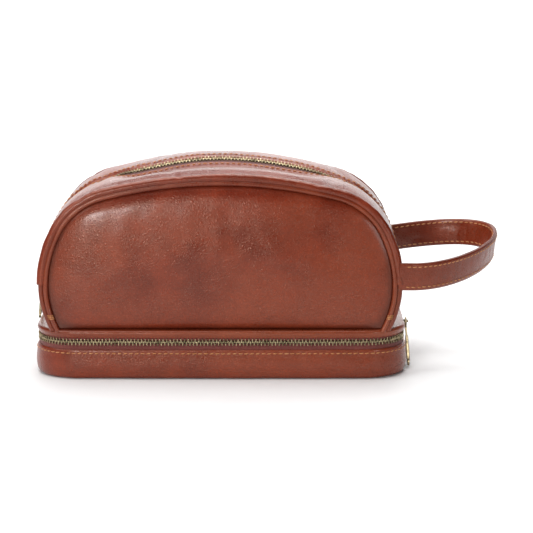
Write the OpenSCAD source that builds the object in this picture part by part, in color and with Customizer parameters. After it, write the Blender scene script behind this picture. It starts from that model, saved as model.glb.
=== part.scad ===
// Zip-around leather shaving kit bag: a shallow base tray with its own zip, a D-shaped upper
// compartment whose zip runs over the arch, and a strap loop at the right side.
// Millimetres, +Z up. The origin is the centre of the base's footprint, on the floor.
// The front faces -Y.

/* [Base tray] */
// Outside length of the base, side to side
base_length = 267; // [240:1:320]
// Outside depth of the base, front to back
base_depth = 139; // [120:1:168]
// Plan radius of the base's corners
base_corner = 31; // [22:1:38]
// Height of the leather side wall
wall_height = 21.5; // [18:0.5:28]
// Thickness of the wall leather
wall_leather = 1.4; // [1:0.1:1.6]
// Thickness of the bottom leather
bottom_leather = 2; // [1.4:0.1:2.6]
// Thickness of the stiffener board inside the bottom
board_thickness = 1.6; // [1.2:0.1:2.2]
// Thickness of the lining cloth
lining_cloth = 0.8; // [0.5:0.1:1]

/* [Lower zip] */
// Height of the chain's centre above the wall's top edge
lower_zip_rise = 5.5; // [5:0.1:7]
// How far behind the middle of the sides the zip ends
lower_zip_end = 37; // [30:1:38]
// Where the slider stands, measured back from the middle of the right side
lower_slider_at = 3; // [-10:1:12]

/* [Zip hardware] */
// Width of the closed chain
chain_width = 4.8; // [4.4:0.1:5.4]
// Distance between the teeth of one row
tooth_pitch = 2.55; // [2.4:0.05:3]
// Thickness of a tooth through the tape
tooth_depth = 2.8; // [2.4:0.1:3]
// Thickness of the zip tape
tape_thickness = 0.6; // [0.5:0.05:0.7]
// Thickness of a slider's plates
plate_thickness = 1.2; // [1:0.1:1.4]
// Length of a slider along the chain
slider_length = 12; // [10:0.5:14]
// Width of a slider across the chain
slider_width = 9.2; // [8.6:0.1:10]
// Radius of the pin of a pull, which turns under its slider's crown
pull_pin_radius = 0.6; // [0.5:0.05:0.7]
// Clearance between a pull's pin and the crown
crown_clearance = 0.35; // [0.3:0.05:0.5]
// Length of a pull from its pin to its tip
pull_length = 46; // [40:1:47]
// How far the lower pull leans forward from hanging straight down
lower_pull_lean = 58; // [56:1:75]

/* [Upper compartment] */
// How far the ridge's widest place is inside the base's sides
ridge_side_inset = 3.5; // [0:0.5:8]
// How far the ridge's foot is inside the base's sides
ridge_foot_inset = 11.5; // [8:0.5:16]
// Height of the ridge's widest place above the compartment's foot
ridge_widest_height = 30.6; // [26:0.2:36]
// Height of the ridge above the compartment's foot, at the middle of the arch
ridge_height = 109.7; // [96:0.2:128]
// Radius of the ridge's shoulders
ridge_shoulder = 55; // [46:1:60]
// How far the shoulders' centre is inside the ridge's widest place
shoulder_inset = 58.7; // [50:0.1:66]
// Height of the shoulders' centre above the compartment's foot
shoulder_height = 45.7; // [40:0.1:56]
// How far the piping runs inside the ridge
piping_inset = 5; // [4:0.1:7]
// Radius of the piping
piping_radius = 1.8; // [1.4:0.1:2.2]
// How far the piping seam's foot is inside the base's front and back
seam_foot_inset = 5.5; // [4:0.5:10]
// How much closer to mid-depth the seam is at the top
seam_lean = 7; // [3:0.5:10]
// How far the front and back panels bulge
panel_bulge = 7; // [3:0.5:9]
// Thickness of the upper leather
body_leather = 1.6; // [1.2:0.1:2]
// Height of the top zip above the compartment's foot, at the middle of the arch
top_zip_height = 114.6; // [104:0.2:136]
// Radius of the top zip's shoulders, the arcs that its slider runs on
top_zip_shoulder = 60; // [50:1:62]
// Height of the centre of the top zip's shoulder arcs above the compartment's foot
top_zip_centre_height = 42.6; // [40:0.1:46]
// How far the top zip is inside the base's sides at its shoulders
top_zip_side_inset = 5; // [1.5:0.5:9]
// Height above the compartment's foot where the top zip ends and the side panels begin
side_panel_height = 34.6; // [32:0.1:35.6]
// Gap between the leather edges along the top zip
top_zip_gap = 12; // [11.5:0.5:14]

/* [Handle] */
// Width of the strap
strap_width = 20; // [16:0.5:24]
// Thickness of each of the strap's two leathers
strap_leather = 1.3; // [1:0.1:1.6]
// How far the strap stands out from the side, as its curve's handle lengths
strap_reach = [54, 119]; // [40:1:140]
// Height above the compartment's foot where the strap meets the front and the back seam
strap_height = [37.6, 42.6]; // [32:0.1:50]

/* [Hidden] */
$fn = 64;

leather_red = [0.52, 0.25, 0.19];
edge_red = [0.42, 0.17, 0.11];
tape_red = [0.45, 0.22, 0.2];
lining_tan = [0.62, 0.5, 0.38];
board_grey = [0.4, 0.36, 0.32];
brass = [0.6, 0.52, 0.3];
thread_orange = [0.78, 0.48, 0.23];

// gaps between pieces that touch in use
fit_gap = 0.1;
move_gap = 0.4;

half_length = base_length / 2;
half_depth = base_depth / 2;

// levels of the base and its zip
lower_zip_z = wall_height + lower_zip_rise;
tape_inset = wall_leather + fit_gap;
tape_centre_inset = tape_inset + tape_thickness / 2;
row_reach = chain_width / 2;
row_mesh = 0.6;
rim_foot_z = lower_zip_z + row_reach + 1;
// the rim's leather is thinned so that the slider's outer plate passes it
rim_inset = 0.6;
ledge_z = rim_foot_z + 3.6;
ledge_thickness = 1.3;
ledge_width = 17;
body_z = ledge_z + ledge_thickness + fit_gap;

// the upper compartment stands on the ledge
ridge_half_width = half_length - ridge_side_inset;
ridge_foot_half_width = half_length - ridge_foot_inset;
ridge_widest_z = body_z + ridge_widest_height;
ridge_top = body_z + ridge_height;
ridge_cx = ridge_half_width - shoulder_inset;
shoulder_z = body_z + shoulder_height;
seam_foot_y = half_depth - seam_foot_inset;
top_zip_half_width = half_length - top_zip_side_inset;
top_zip_top = body_z + top_zip_height;
top_zip_centre_z = body_z + top_zip_centre_height;
zip_cx = top_zip_half_width - top_zip_shoulder;
side_panel_top = body_z + side_panel_height;
strap_z = [body_z, body_z] + strap_height;

// an arch: [shoulder centre x, shoulder centre z, shoulder radius, top, widest half-width,
// height of the widest place, angle where the shoulder starts]
ridge_arch = [ridge_cx, shoulder_z, ridge_shoulder, ridge_top, ridge_half_width, ridge_widest_z, 27];
seam_arch = inset_arch(ridge_arch, piping_inset);
zip_arch = [zip_cx, top_zip_centre_z, top_zip_shoulder, top_zip_top, top_zip_half_width,
            top_zip_centre_z, 8];

side_steps = 5;
shoulder_steps = 9;
crown_steps = 6;

function inset_arch(a, d) = [a[0], a[1], a[2] - d, a[3] - d, a[4] - d, a[5], a[6]];
function lerp(a, b, t) = a + (b - a) * t;
function unit(v) = v / norm(v);
function sq(v) = v * v;
function reversed(v) = [for (i = [len(v) - 1:-1:0]) v[i]];
function mirror_x(v) = [-v[0], v[1]];

// the arch's crown is an arc that is tangent to both shoulders
function crown_radius(a) = let (h = a[3] - a[1]) (h * h - sq(a[2]) + sq(a[0])) / (2 * (h - a[2]));
function crown_angle(a) = acos(a[0] / (crown_radius(a) - a[2]));
function on_shoulder(a, angle) = [a[0] + a[2] * cos(angle), a[1] + a[2] * sin(angle)];
function side_start(a) = on_shoulder(a, a[6]);

// x of the arch's side at a height below its shoulder
function side_x(a, z) =
  a[4] == a[0] + a[2] ? a[0] + sqrt(sq(a[2]) - sq(z - a[1]))
  : let (s = side_start(a))
    z > a[5] ? a[4] - (a[4] - s[0]) * sq((z - a[5]) / (s[1] - a[5]))
    : a[4] - (ridge_half_width - ridge_foot_half_width) * sq((a[5] - z) / (a[5] - body_z));

// the right half of an arch from side_panel_top up to the crown, as [x, z]
function half_arch(a) = let (s = side_start(a), c = crown_angle(a), r = crown_radius(a))
  concat(
    [for (i = [0:side_steps - 1]) let (z = lerp(side_panel_top, s[1], i / side_steps)) [side_x(a, z), z]],
    [for (i = [0:shoulder_steps - 1]) on_shoulder(a, lerp(a[6], c, i / shoulder_steps))],
    [for (i = [0:crown_steps]) let (g = lerp(c, 90, i / crown_steps))
      [r * cos(g), a[3] - r + r * sin(g)]]
  );
function whole_arch(a) = let (h = half_arch(a), n = len(h))
  concat([for (p = h) mirror_x(p)], [for (i = [n - 2:-1:0]) h[i]]);

// the piping seam leans towards mid-depth as it rises
function seam_y(z) = seam_foot_y - seam_lean * (z - body_z) / (seam_arch[3] - body_z);

// a sheet of an even thickness under a grid of points, which lie on its outer face
function grid_normal(g, i, j) =
  let (r = len(g) - 1, c = len(g[0]) - 1)
  unit(cross(g[min(i + 1, r)][j] - g[max(i - 1, 0)][j], g[i][min(j + 1, c)] - g[i][max(j - 1, 0)]));
module sheet(g, thickness) {
  rows = len(g);
  cols = len(g[0]);
  count = rows * cols;
  outer = [for (i = [0:rows - 1]) for (j = [0:cols - 1]) g[i][j]];
  inner = [for (i = [0:rows - 1]) for (j = [0:cols - 1]) g[i][j] - grid_normal(g, i, j) * thickness];
  rim = concat(
    [for (j = [0:cols - 2]) j], [for (i = [0:rows - 2]) i * cols + cols - 1],
    [for (j = [cols - 1:-1:1]) (rows - 1) * cols + j], [for (i = [rows - 1:-1:1]) i * cols]
  );
  skin = [for (i = [0:rows - 2]) for (j = [0:cols - 2]) let (k = i * cols + j)
    for (f = [[k, k + cols, k + 1], [k + 1, k + cols, k + cols + 1]]) f];
  edge = [for (i = [0:len(rim) - 1]) let (a = rim[i], b = rim[(i + 1) % len(rim)])
    for (f = [[a, b, a + count], [b, b + count, a + count]]) f];
  polyhedron(concat(outer, inner), concat([for (f = skin) reversed(f)],
    [for (f = skin) [for (k = f) k + count]], [for (f = edge) reversed(f)]));
}

// a round tube along a path
module tube(path, radius, sides = 8) {
  n = len(path);
  points = [for (i = [0:n - 1])
    let (t = unit(path[min(i + 1, n - 1)] - path[max(i - 1, 0)]),
         u = unit(cross(t, [0, 1, 0.01])), v = cross(t, u))
    for (k = [0:sides - 1]) path[i] + radius * (cos(k * 360 / sides) * u + sin(k * 360 / sides) * v)];
  walls = [for (i = [0:n - 2]) for (k = [0:sides - 1])
    let (a = i * sides + k, b = i * sides + (k + 1) % sides)
    for (f = [[a, b, a + sides], [b, b + sides, a + sides]]) f];
  polyhedron(points, concat([for (f = walls) reversed(f)],
    [[for (k = [0:sides - 1]) k]], [[for (k = [sides - 1:-1:0]) (n - 1) * sides + k]]));
}

// a bulging leather panel inside a closed [x, z] loop; its rim is at seam_y
module bulged_panel(loop, centre, bulge, thickness, back = 0) {
  n = len(loop);
  rings = [1, 0.86, 0.62, 0.32];
  function at(p, s) = let (q = centre + (p - centre) * s) [q[0], -seam_y(q[1]) - bulge * (1 - s * s) + back, q[1]];
  outer = concat([for (s = rings) for (p = loop) at(p, s)], [at(centre, 0)]);
  inner = [for (p = outer) p + [0, thickness, 0]];
  count = len(outer);
  middle = count - 1;
  skin = concat(
    [for (r = [0:len(rings) - 2]) for (k = [0:n - 1])
      let (a = r * n + k, b = r * n + (k + 1) % n)
      for (f = [[a, b, a + n], [b, b + n, a + n]]) f],
    [for (k = [0:n - 1]) let (a = (len(rings) - 1) * n) [a + k, a + (k + 1) % n, middle]]
  );
  edge = [for (k = [0:n - 1]) let (b = (k + 1) % n) for (f = [[k, k + count, b], [b, k + count, b + count]]) f];
  polyhedron(concat(outer, inner),
    concat(skin, [for (f = skin) reversed([for (k = f) k + count])], edge));
}

// the rounded rectangle of the base, shrunk by an inset
module base_plan(inset) {
  l = half_length - inset;
  d = half_depth - inset;
  r = base_corner - inset;
  translate([-l, r - d]) square([2 * l, 2 * (d - r)]);
  translate([r - l, -d]) square([2 * (l - r), 2 * d]);
  for (x = [r - l, l - r], y = [r - d, d - r]) translate([x, y]) circle(r);
}
// an upright band that follows the base's outline
module base_band(inset, thickness, low, high) {
  translate([0, 0, low]) linear_extrude(high - low) difference() {
    base_plan(inset);
    base_plan(inset + thickness);
  }
}
module before_zip_end(gap = 0) {
  intersection() {
    children();
    translate([-half_length - 5, -half_depth - 5, -5])
      cube([base_length + 10, half_depth + 5 + lower_zip_end - gap, 60]);
  }
}
module behind_zip_end() {
  intersection() {
    children();
    translate([-half_length - 5, lower_zip_end, -5]) cube([base_length + 10, half_depth, 60]);
  }
}

// the lower zip's line: [x, y, heading] at a distance from its left end
zip_line_x = half_length - tape_centre_inset;
zip_line_y = half_depth - tape_centre_inset;
zip_line_r = base_corner - tape_centre_inset;
side_run = lower_zip_end + zip_line_y - zip_line_r;
corner_run = zip_line_r * PI / 2;
front_run = 2 * (zip_line_x - zip_line_r);
lower_run = 2 * side_run + 2 * corner_run + front_run;
function on_lower_zip(s) =
  s < side_run ? [-zip_line_x, lower_zip_end - s, -90]
  : s < side_run + corner_run ?
    let (g = 180 + (s - side_run) / zip_line_r * 180 / PI)
    [zip_line_r - zip_line_x + zip_line_r * cos(g), zip_line_r - zip_line_y + zip_line_r * sin(g), g + 90]
  : s < side_run + corner_run + front_run ?
    [zip_line_r - zip_line_x + s - side_run - corner_run, -zip_line_y, 0]
  : s < lower_run - side_run ?
    let (g = 270 + (s - side_run - corner_run - front_run) / zip_line_r * 180 / PI)
    [zip_line_x - zip_line_r + zip_line_r * cos(g), zip_line_r - zip_line_y + zip_line_r * sin(g), g + 90]
  : [zip_line_x, lower_zip_end - (lower_run - s), 90];

// the rows mesh up to the slider; past it they lie apart
tooth_width = tooth_pitch * 0.4;
row_part = 0.9;
lower_meshed = lower_run - (lower_zip_end - lower_slider_at) - 1;
// side is -1 for the row on the wall and 1 for the row on the rim
module lower_teeth(side) {
  for (k = [1:floor((lower_run - 3) / tooth_pitch)]) {
    s = (k + (side > 0 ? 0.5 : 0)) * tooth_pitch;
    p = on_lower_zip(s);
    apart = s < lower_meshed ? 0 : row_part;
    in_slider = s > lower_meshed && s < lower_meshed + slider_length / 2 + 2;
    if (s < lower_run - 2 && !in_slider)
      translate([p[0], p[1], lower_zip_z + side * apart]) rotate(p[2])
        translate([-tooth_width / 2, -tooth_depth / 2, side > 0 ? -row_mesh : -row_reach])
          cube([tooth_width, tooth_depth, row_reach + row_mesh]);
  }
}

// the top zip's line: [x, z, heading] at a distance from its left end
zip_crown_r = crown_radius(zip_arch);
zip_crown_a = crown_angle(zip_arch);
zip_tape_under = body_leather + 0.3;
zip_tape_in = zip_tape_under + tape_thickness / 2;
zip_end_angle = asin((side_panel_top + 1 - top_zip_centre_z) / top_zip_shoulder);
shoulder_run = (top_zip_shoulder - zip_tape_in) * (zip_crown_a - zip_end_angle) * PI / 180;
crown_run = (zip_crown_r - zip_tape_in) * 2 * (90 - zip_crown_a) * PI / 180;
top_run = 2 * shoulder_run + crown_run;
function round_point(cx, cz, r, g) = [cx + r * cos(g), cz + r * sin(g), g - 90];
function on_top_zip(s) =
  s < shoulder_run ? round_point(-zip_cx, top_zip_centre_z, top_zip_shoulder - zip_tape_in,
    180 - zip_end_angle - s / (top_zip_shoulder - zip_tape_in) * 180 / PI)
  : s < shoulder_run + crown_run ? round_point(0, top_zip_top - zip_crown_r, zip_crown_r - zip_tape_in,
    180 - zip_crown_a - (s - shoulder_run) / (zip_crown_r - zip_tape_in) * 180 / PI)
  : round_point(zip_cx, top_zip_centre_z, top_zip_shoulder - zip_tape_in,
    zip_crown_a - (s - shoulder_run - crown_run) / (top_zip_shoulder - zip_tape_in) * 180 / PI);

upper_slider_angle = 182;
upper_slider_s = (top_zip_shoulder - zip_tape_in) * (180 - zip_end_angle - upper_slider_angle) * PI / 180;
// side is -1 for the front row and 1 for the back row
module top_teeth(side) {
  first = ceil((upper_slider_s + 1) / tooth_pitch);
  for (k = [first:floor((top_run - 3) / tooth_pitch)]) {
    s = (k + (side > 0 ? 0.5 : 0)) * tooth_pitch;
    p = on_top_zip(s);
    if (s < top_run - 3)
      translate([p[0], 0, p[1]]) rotate([0, -p[2], 0])
        translate([-tooth_width / 2, side > 0 ? -row_mesh : -row_reach, -tooth_depth / 2])
          cube([tooth_width, row_reach + row_mesh, tooth_depth]);
  }
}
// a band that follows the top zip, from one depth to another
module arch_band(inset, thickness, y0, y1) {
  outer = whole_arch(shrunk_zip(inset));
  inner = whole_arch(shrunk_zip(inset + thickness));
  translate([0, y1, 0]) rotate([90, 0, 0]) linear_extrude(y1 - y0) polygon(concat(outer, reversed(inner)));
}
function shrunk_zip(d) = [zip_arch[0], zip_arch[1], zip_arch[2] - d, zip_arch[3] - d, zip_arch[4] - d,
                          zip_arch[5], zip_arch[6]];

// a slider that runs along +X, with its outer plate on top (+Z), centred on the chain
channel = tooth_depth + 2 * move_gap;
plate_top = channel / 2 + plate_thickness;
pin_height = plate_top + 2.4;
crown_half = 2.9;
crown_post = 1.2;
crown_width = 1.4;
crown_bar = 1.1;
module slider_plate() {
  l = slider_length / 2;
  w = slider_width / 2;
  linear_extrude(plate_thickness)
    polygon([[-l, -w * 0.72], [-l * 0.3, -w * 0.8], [l * 0.45, -w], [l * 0.8, -w * 0.86], [l, -w * 0.4],
             [l, w * 0.4], [l * 0.8, w * 0.86], [l * 0.45, w], [-l * 0.3, w * 0.8], [-l, w * 0.72]]);
}
module slider_body() {
  l = slider_length / 2;
  bar_z = pin_height + pull_pin_radius + crown_clearance;
  translate([0, 0, channel / 2]) slider_plate();
  translate([0, 0, -plate_top]) slider_plate();
  // the diamond that parts the rows
  translate([0, 0, -channel / 2 - 0.1]) linear_extrude(channel + 0.2)
    polygon([[l * 0.35, 0], [l * 0.7, -1.3], [l - 0.2, 0], [l * 0.7, 1.3]]);
  // the crown: two posts and the bar that bridges them
  for (x = [-crown_half, crown_half - crown_post])
    translate([x, -crown_width / 2, plate_top - 0.1]) cube([crown_post, crown_width, bar_z - plate_top + 0.2]);
  translate([-crown_half, -crown_width / 2, bar_z]) cube([2 * crown_half, crown_width, crown_bar]);
}

// a pull that points along -X from its pin, which lies along Y at the origin
window_half = 2.7;
window_length = 6.6;
arm_width = 0.8;
link_length = 17;
link_thickness = 1.2;
module pull_link() {
  outer = window_half + arm_width;
  rotate([90, 0, 0]) cylinder(r = pull_pin_radius, h = 2 * outer, center = true);
  for (y = [-outer, window_half]) translate([-window_length - 0.1, y, -link_thickness / 2])
    cube([window_length + 0.1, arm_width, link_thickness]);
  translate([-window_length - 1, -outer, -link_thickness / 2]) cube([1, 2 * outer, link_thickness]);
  translate([-link_length, -1.3, -link_thickness / 2]) cube([link_length - window_length, 2.6, link_thickness]);
}
tab_width = 5;
tab_thickness = 2;
tip_length = 3.4;
module pull_tab() {
  body_length = pull_length - link_length - tip_length;
  translate([-link_length - body_length, -tab_width / 2, -tab_thickness / 2])
    cube([body_length - fit_gap, tab_width, tab_thickness]);
  translate([-pull_length, -tab_width / 2 + 1, -tab_thickness / 2 + 0.2])
    cube([tip_length + 0.1, tab_width - 2, tab_thickness - 0.4]);
}

module at_lower_slider() {
  translate([zip_line_x, lower_slider_at, lower_zip_z]) rotate([0, 90, 0]) rotate([0, 0, 90]) children();
}
module at_lower_pull() {
  at_lower_slider() translate([0, 0, pin_height]) rotate([0, 0, 90 - lower_pull_lean]) children();
}
// the ledge's edge holds the hanging upper pull a little off the side
upper_pull_tilt = 6;
module at_upper_slider() {
  translate([-zip_cx, 0, top_zip_centre_z]) rotate([0, -upper_slider_angle, 0])
    translate([top_zip_shoulder - zip_tape_in, 0, 0]) rotate([0, 90, 0]) rotate([0, 0, 180]) children();
}
module at_upper_pull() {
  at_upper_slider() translate([0, 0, pin_height])
    rotate([0, 0, 180]) rotate([0, upper_slider_angle - 180 + upper_pull_tilt, 0]) children();
}

// the sewn ends of the strap stop short of the part that flexes
strap_root_gap = 6.5;
seam_end_length = 1.5;
strap_root_x = ridge_half_width + strap_root_gap;
strap_start = [strap_root_x, -seam_y(strap_z[0]) + 1, strap_z[0]];
strap_end = [strap_root_x, seam_y(strap_z[1]) - 1, strap_z[1]];
strap_mid_1 = strap_start + [strap_reach[0], 11, -3];
strap_mid_2 = strap_end + [strap_reach[1], 9, 15];
function strap_point(t) = pow(1 - t, 3) * strap_start + 3 * t * sq(1 - t) * strap_mid_1
  + 3 * t * t * (1 - t) * strap_mid_2 + pow(t, 3) * strap_end;
function strap_out(t) = let (d = strap_point(min(t + 0.01, 1)) - strap_point(max(t - 0.01, 0)))
  unit([d[1], -d[0], 0]);
strap_steps = 36;
module strap(from) {
  g = [for (i = [0:strap_steps]) let (t = i / strap_steps)
    [for (v = [-0.5, -0.2, 0.2, 0.5]) strap_point(t) + strap_out(t) * from + [0, 0, v * strap_width]]];
  sheet(g, strap_leather);
}

module base_bottom_panel() {
  color(leather_red) linear_extrude(bottom_leather) base_plan(wall_leather + fit_gap);
}
module base_stiffener() {
  color(board_grey) translate([0, 0, bottom_leather]) linear_extrude(board_thickness)
    base_plan(wall_leather + tape_thickness + 1.2);
}
module base_wall() {
  color(leather_red) base_band(0, wall_leather, 0, wall_height);
}
module base_back_wrap() {
  color(leather_red) behind_zip_end() base_band(0, wall_leather, wall_height, ledge_z - move_gap);
}
module base_lining() {
  inset = tape_inset + tape_thickness + fit_gap;
  floor_z = bottom_leather + board_thickness;
  color(lining_tan) {
    translate([0, 0, floor_z]) linear_extrude(lining_cloth) base_plan(inset);
    base_band(inset, lining_cloth, floor_z, wall_height - 0.8);
  }
}
module back_hinge_strip() {
  length = 2 * (half_length - base_corner);
  color(edge_red) translate([-length / 2, half_depth - wall_leather - fit_gap - 1, wall_height])
    cube([length, 1, ledge_z - move_gap - wall_height]);
}
module lower_zip_lower_tape() {
  color(tape_red) before_zip_end(0.2)
    base_band(tape_inset, tape_thickness, wall_height - 7, lower_zip_z - row_mesh - 0.8);
}
module lower_zip_lower_teeth() {
  color(brass) lower_teeth(-1);
}
module lower_zip_stops() {
  color(brass) for (s = [1.1, lower_run - 1.1]) {
    p = on_lower_zip(s);
    translate([p[0], p[1], lower_zip_z - row_reach]) rotate(p[2])
      translate([-0.8, -tooth_depth / 2, 0]) cube([1.6, tooth_depth, 1.7]);
  }
}

module divider_floor() {
  color(board_grey) translate([0, 0, ledge_z]) linear_extrude(ledge_thickness) base_plan(ledge_width + fit_gap);
}
module rim_ledge() {
  color(leather_red) base_band(0, ledge_width, ledge_z, ledge_z + ledge_thickness);
}
module rim_band() {
  color(leather_red) before_zip_end(0.4) base_band(rim_inset, wall_leather - rim_inset, rim_foot_z, ledge_z);
}
module lower_zip_upper_tape() {
  color(tape_red) before_zip_end(0.4)
    base_band(tape_inset, tape_thickness, lower_zip_z + row_mesh + 0.8, ledge_z - fit_gap);
}
module lower_zip_upper_teeth() {
  color(brass) lower_teeth(1);
}

// the closed loop of a panel, with its foot on the ledge
function panel_loop(inset) = let (a = inset_arch(ridge_arch, inset),
    low = [for (z = [body_z, lerp(body_z, side_panel_top, 0.4), lerp(body_z, side_panel_top, 0.75)]) [side_x(a, z), z]],
    foot = [for (i = [1:11]) [lerp(low[0][0], -low[0][0], i / 12), body_z]])
  concat([for (p = low) mirror_x(p)], whole_arch(a), reversed(low), foot);
panel_inset = piping_inset + piping_radius + 0.3;
panel_centre = [0, 84];
module front_panel() {
  color(leather_red) bulged_panel(panel_loop(panel_inset), panel_centre, panel_bulge, body_leather, -1);
}
module back_panel() {
  color(leather_red) mirror([0, 1, 0]) front_panel();
}
module front_lining() {
  color(lining_tan)
    bulged_panel(panel_loop(panel_inset), panel_centre, panel_bulge, lining_cloth, body_leather + fit_gap - 1);
}
module back_lining() {
  color(lining_tan) mirror([0, 1, 0]) front_lining();
}
piping_path = let (low = [for (i = [0:3]) let (z = lerp(body_z + piping_radius + 0.4, side_panel_top, i / 4))
    [side_x(seam_arch, z), z]])
  [for (p = concat([for (q = low) mirror_x(q)], whole_arch(seam_arch), reversed(low))) [p[0], -seam_y(p[1]) - 1, p[1]]];
module front_piping() {
  color(edge_red) tube(piping_path, piping_radius);
}
module back_piping() {
  color(edge_red) mirror([0, 1, 0]) front_piping();
}

// across a gusset from its seam, over the rolled ridge, to the zip; each row is [how far from the
// ridge's arch to the zip's arch, depth as a share of the way to the zip, outward bulge]
gusset_rows = [[0.12, 0.07, 0.6], [0.4, 0.3, 0.5], [0.72, 0.62, 0.3], [1, 1, 0]];
function gusset_grid() = let (
    seam = whole_arch(inset_arch(ridge_arch, piping_inset - piping_radius - 0.4)),
    roll = whole_arch(inset_arch(ridge_arch, 1)),
    ridge = whole_arch(ridge_arch),
    zip = whole_arch(zip_arch),
    edge_y = top_zip_gap / 2)
  [for (k = [0:len(ridge) - 1]) let (y = seam_y(ridge[k][1]))
    concat([[seam[k][0], -y + 0.6, seam[k][1]], [roll[k][0], -y + 0.9, roll[k][1]], [ridge[k][0], -y + 3, ridge[k][1]]],
      [for (g = gusset_rows) let (p = lerp(ridge[k], zip[k], g[0]), d = unit(zip[k] - [0, 60]) * g[2])
        [p[0] + d[0], lerp(-y + 3, -edge_y, g[1]), p[1] + d[1]]])];
module front_gusset() {
  color(leather_red) sheet(gusset_grid(), body_leather);
}
module back_gusset() {
  color(leather_red) mirror([0, 1, 0]) front_gusset();
}
side_share = [0, 0.1, 0.3, 0.5, 0.7, 0.9, 1];
function side_grid() = [for (i = [0:5]) let (z = lerp(body_z, side_panel_top - 0.8, i / 5), y = seam_y(z) - 1,
      x = side_x(ridge_arch, z), rise = i / 5)
    [for (s = side_share) let (tuck = s == 0 || s == 1 ? 3 : 0)
      [x - tuck - (ridge_half_width - top_zip_half_width) * rise * (1 - sq(2 * s - 1)), lerp(-y, y, s), z]]];
module right_side_panel() {
  color(leather_red) sheet([for (row = side_grid()) reversed(row)], body_leather);
}
module left_side_panel() {
  color(leather_red) mirror([1, 0, 0]) right_side_panel();
}

tape_width = 7;
module upper_zip_front_tape() {
  color(tape_red) arch_band(zip_tape_under, tape_thickness, -tape_width - 0.9 - row_mesh, -0.9 - row_mesh);
}
module upper_zip_back_tape() {
  color(tape_red) mirror([0, 1, 0]) upper_zip_front_tape();
}
module upper_zip_front_teeth() {
  color(brass) top_teeth(-1);
}
module upper_zip_back_teeth() {
  color(brass) top_teeth(1);
}
module upper_zip_stops() {
  p = on_top_zip(top_run - 1.2);
  color(brass) translate([p[0], 0, p[1]]) rotate([0, -p[2], 0])
    translate([-0.8, -row_reach, -tooth_depth / 2]) cube([1.6, chain_width, tooth_depth]);
}
module piping_bar_tacks() {
  color(thread_orange) for (x = [-1, 1], y = [-1, 1], k = [0:2]) {
    z = body_z + 8 + k * 1.5;
    translate([x * (side_x(seam_arch, z) - piping_radius - 2.2), y * (seam_y(z) + 1.9), z])
      rotate([0, 90, 0]) cylinder(r = 0.45, h = 4, center = true);
  }
}
module handle_seam_ends() {
  color(leather_red) for (p = [strap_start, strap_end])
    translate([ridge_half_width + 0.5, p[1] - strap_leather, p[2] - strap_width / 2 + 1])
      cube([seam_end_length, 2 * strap_leather, strap_width - 2]);
}
module handle_outer_strap() {
  color(leather_red) strap(strap_leather + fit_gap / 2);
}
module handle_inner_strap() {
  color(leather_red) strap(-fit_gap / 2);
}

module upper_slider_body() {
  color(brass) at_upper_slider() slider_body();
}
module upper_pull_link() {
  color(brass) at_upper_pull() pull_link();
}
module upper_pull_tab() {
  color(brass) at_upper_pull() pull_tab();
}
module lower_slider_body() {
  color(brass) at_lower_slider() slider_body();
}
module lower_pull_link() {
  color(brass) at_lower_pull() pull_link();
}
module lower_pull_tab() {
  color(brass) at_lower_pull() pull_tab();
}

base_bottom_panel();
base_stiffener();
base_wall();
base_back_wrap();
base_lining();
back_hinge_strip();
lower_zip_lower_tape();
lower_zip_lower_teeth();
lower_zip_stops();
divider_floor();
rim_ledge();
rim_band();
lower_zip_upper_tape();
lower_zip_upper_teeth();
front_panel();
back_panel();
front_piping();
back_piping();
front_gusset();
back_gusset();
left_side_panel();
right_side_panel();
front_lining();
back_lining();
upper_zip_front_tape();
upper_zip_back_tape();
upper_zip_front_teeth();
upper_zip_back_teeth();
upper_zip_stops();
piping_bar_tacks();
handle_seam_ends();
handle_outer_strap();
handle_inner_strap();
upper_slider_body();
upper_pull_link();
upper_pull_tab();
lower_slider_body();
lower_pull_link();
lower_pull_tab();
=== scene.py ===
import random
from math import acos, cos, exp, pi, radians, sin, sqrt

import bmesh
import bpy
import numpy as np
from mathutils import Matrix, Vector, noise


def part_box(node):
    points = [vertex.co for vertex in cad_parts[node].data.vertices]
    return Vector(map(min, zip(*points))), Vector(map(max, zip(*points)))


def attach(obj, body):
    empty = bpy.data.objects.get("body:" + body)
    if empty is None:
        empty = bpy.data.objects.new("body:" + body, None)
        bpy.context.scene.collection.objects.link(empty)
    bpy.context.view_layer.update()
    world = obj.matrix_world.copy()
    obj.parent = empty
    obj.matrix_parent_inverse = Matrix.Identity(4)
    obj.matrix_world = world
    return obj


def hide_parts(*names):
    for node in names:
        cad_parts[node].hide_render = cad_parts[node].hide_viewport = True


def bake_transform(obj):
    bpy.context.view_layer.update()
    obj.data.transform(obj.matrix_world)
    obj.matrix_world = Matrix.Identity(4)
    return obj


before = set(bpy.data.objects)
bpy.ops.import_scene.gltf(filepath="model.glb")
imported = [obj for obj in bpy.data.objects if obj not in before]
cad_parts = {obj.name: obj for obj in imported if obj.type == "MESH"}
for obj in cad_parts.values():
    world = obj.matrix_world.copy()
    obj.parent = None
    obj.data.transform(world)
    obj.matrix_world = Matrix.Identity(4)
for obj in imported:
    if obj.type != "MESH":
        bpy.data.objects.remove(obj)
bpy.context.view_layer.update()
mm = 0.001
print("frame loaded")

# sizes from the frame
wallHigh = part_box("base_wall")[1]
halfLength, halfDepth, wallTop = wallHigh.x, wallHigh.y, wallHigh.z
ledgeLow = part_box("rim_ledge")[0]
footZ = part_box("front_panel")[0].z
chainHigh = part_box("lower_zip_lower_teeth")[1]
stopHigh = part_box("lower_zip_stops")[1]
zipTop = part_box("front_gusset")[1].z
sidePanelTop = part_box("front_gusset")[0].z
sliderLow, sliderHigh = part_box("lower_slider_body")
topSliderLow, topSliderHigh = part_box("upper_slider_body")

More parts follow.
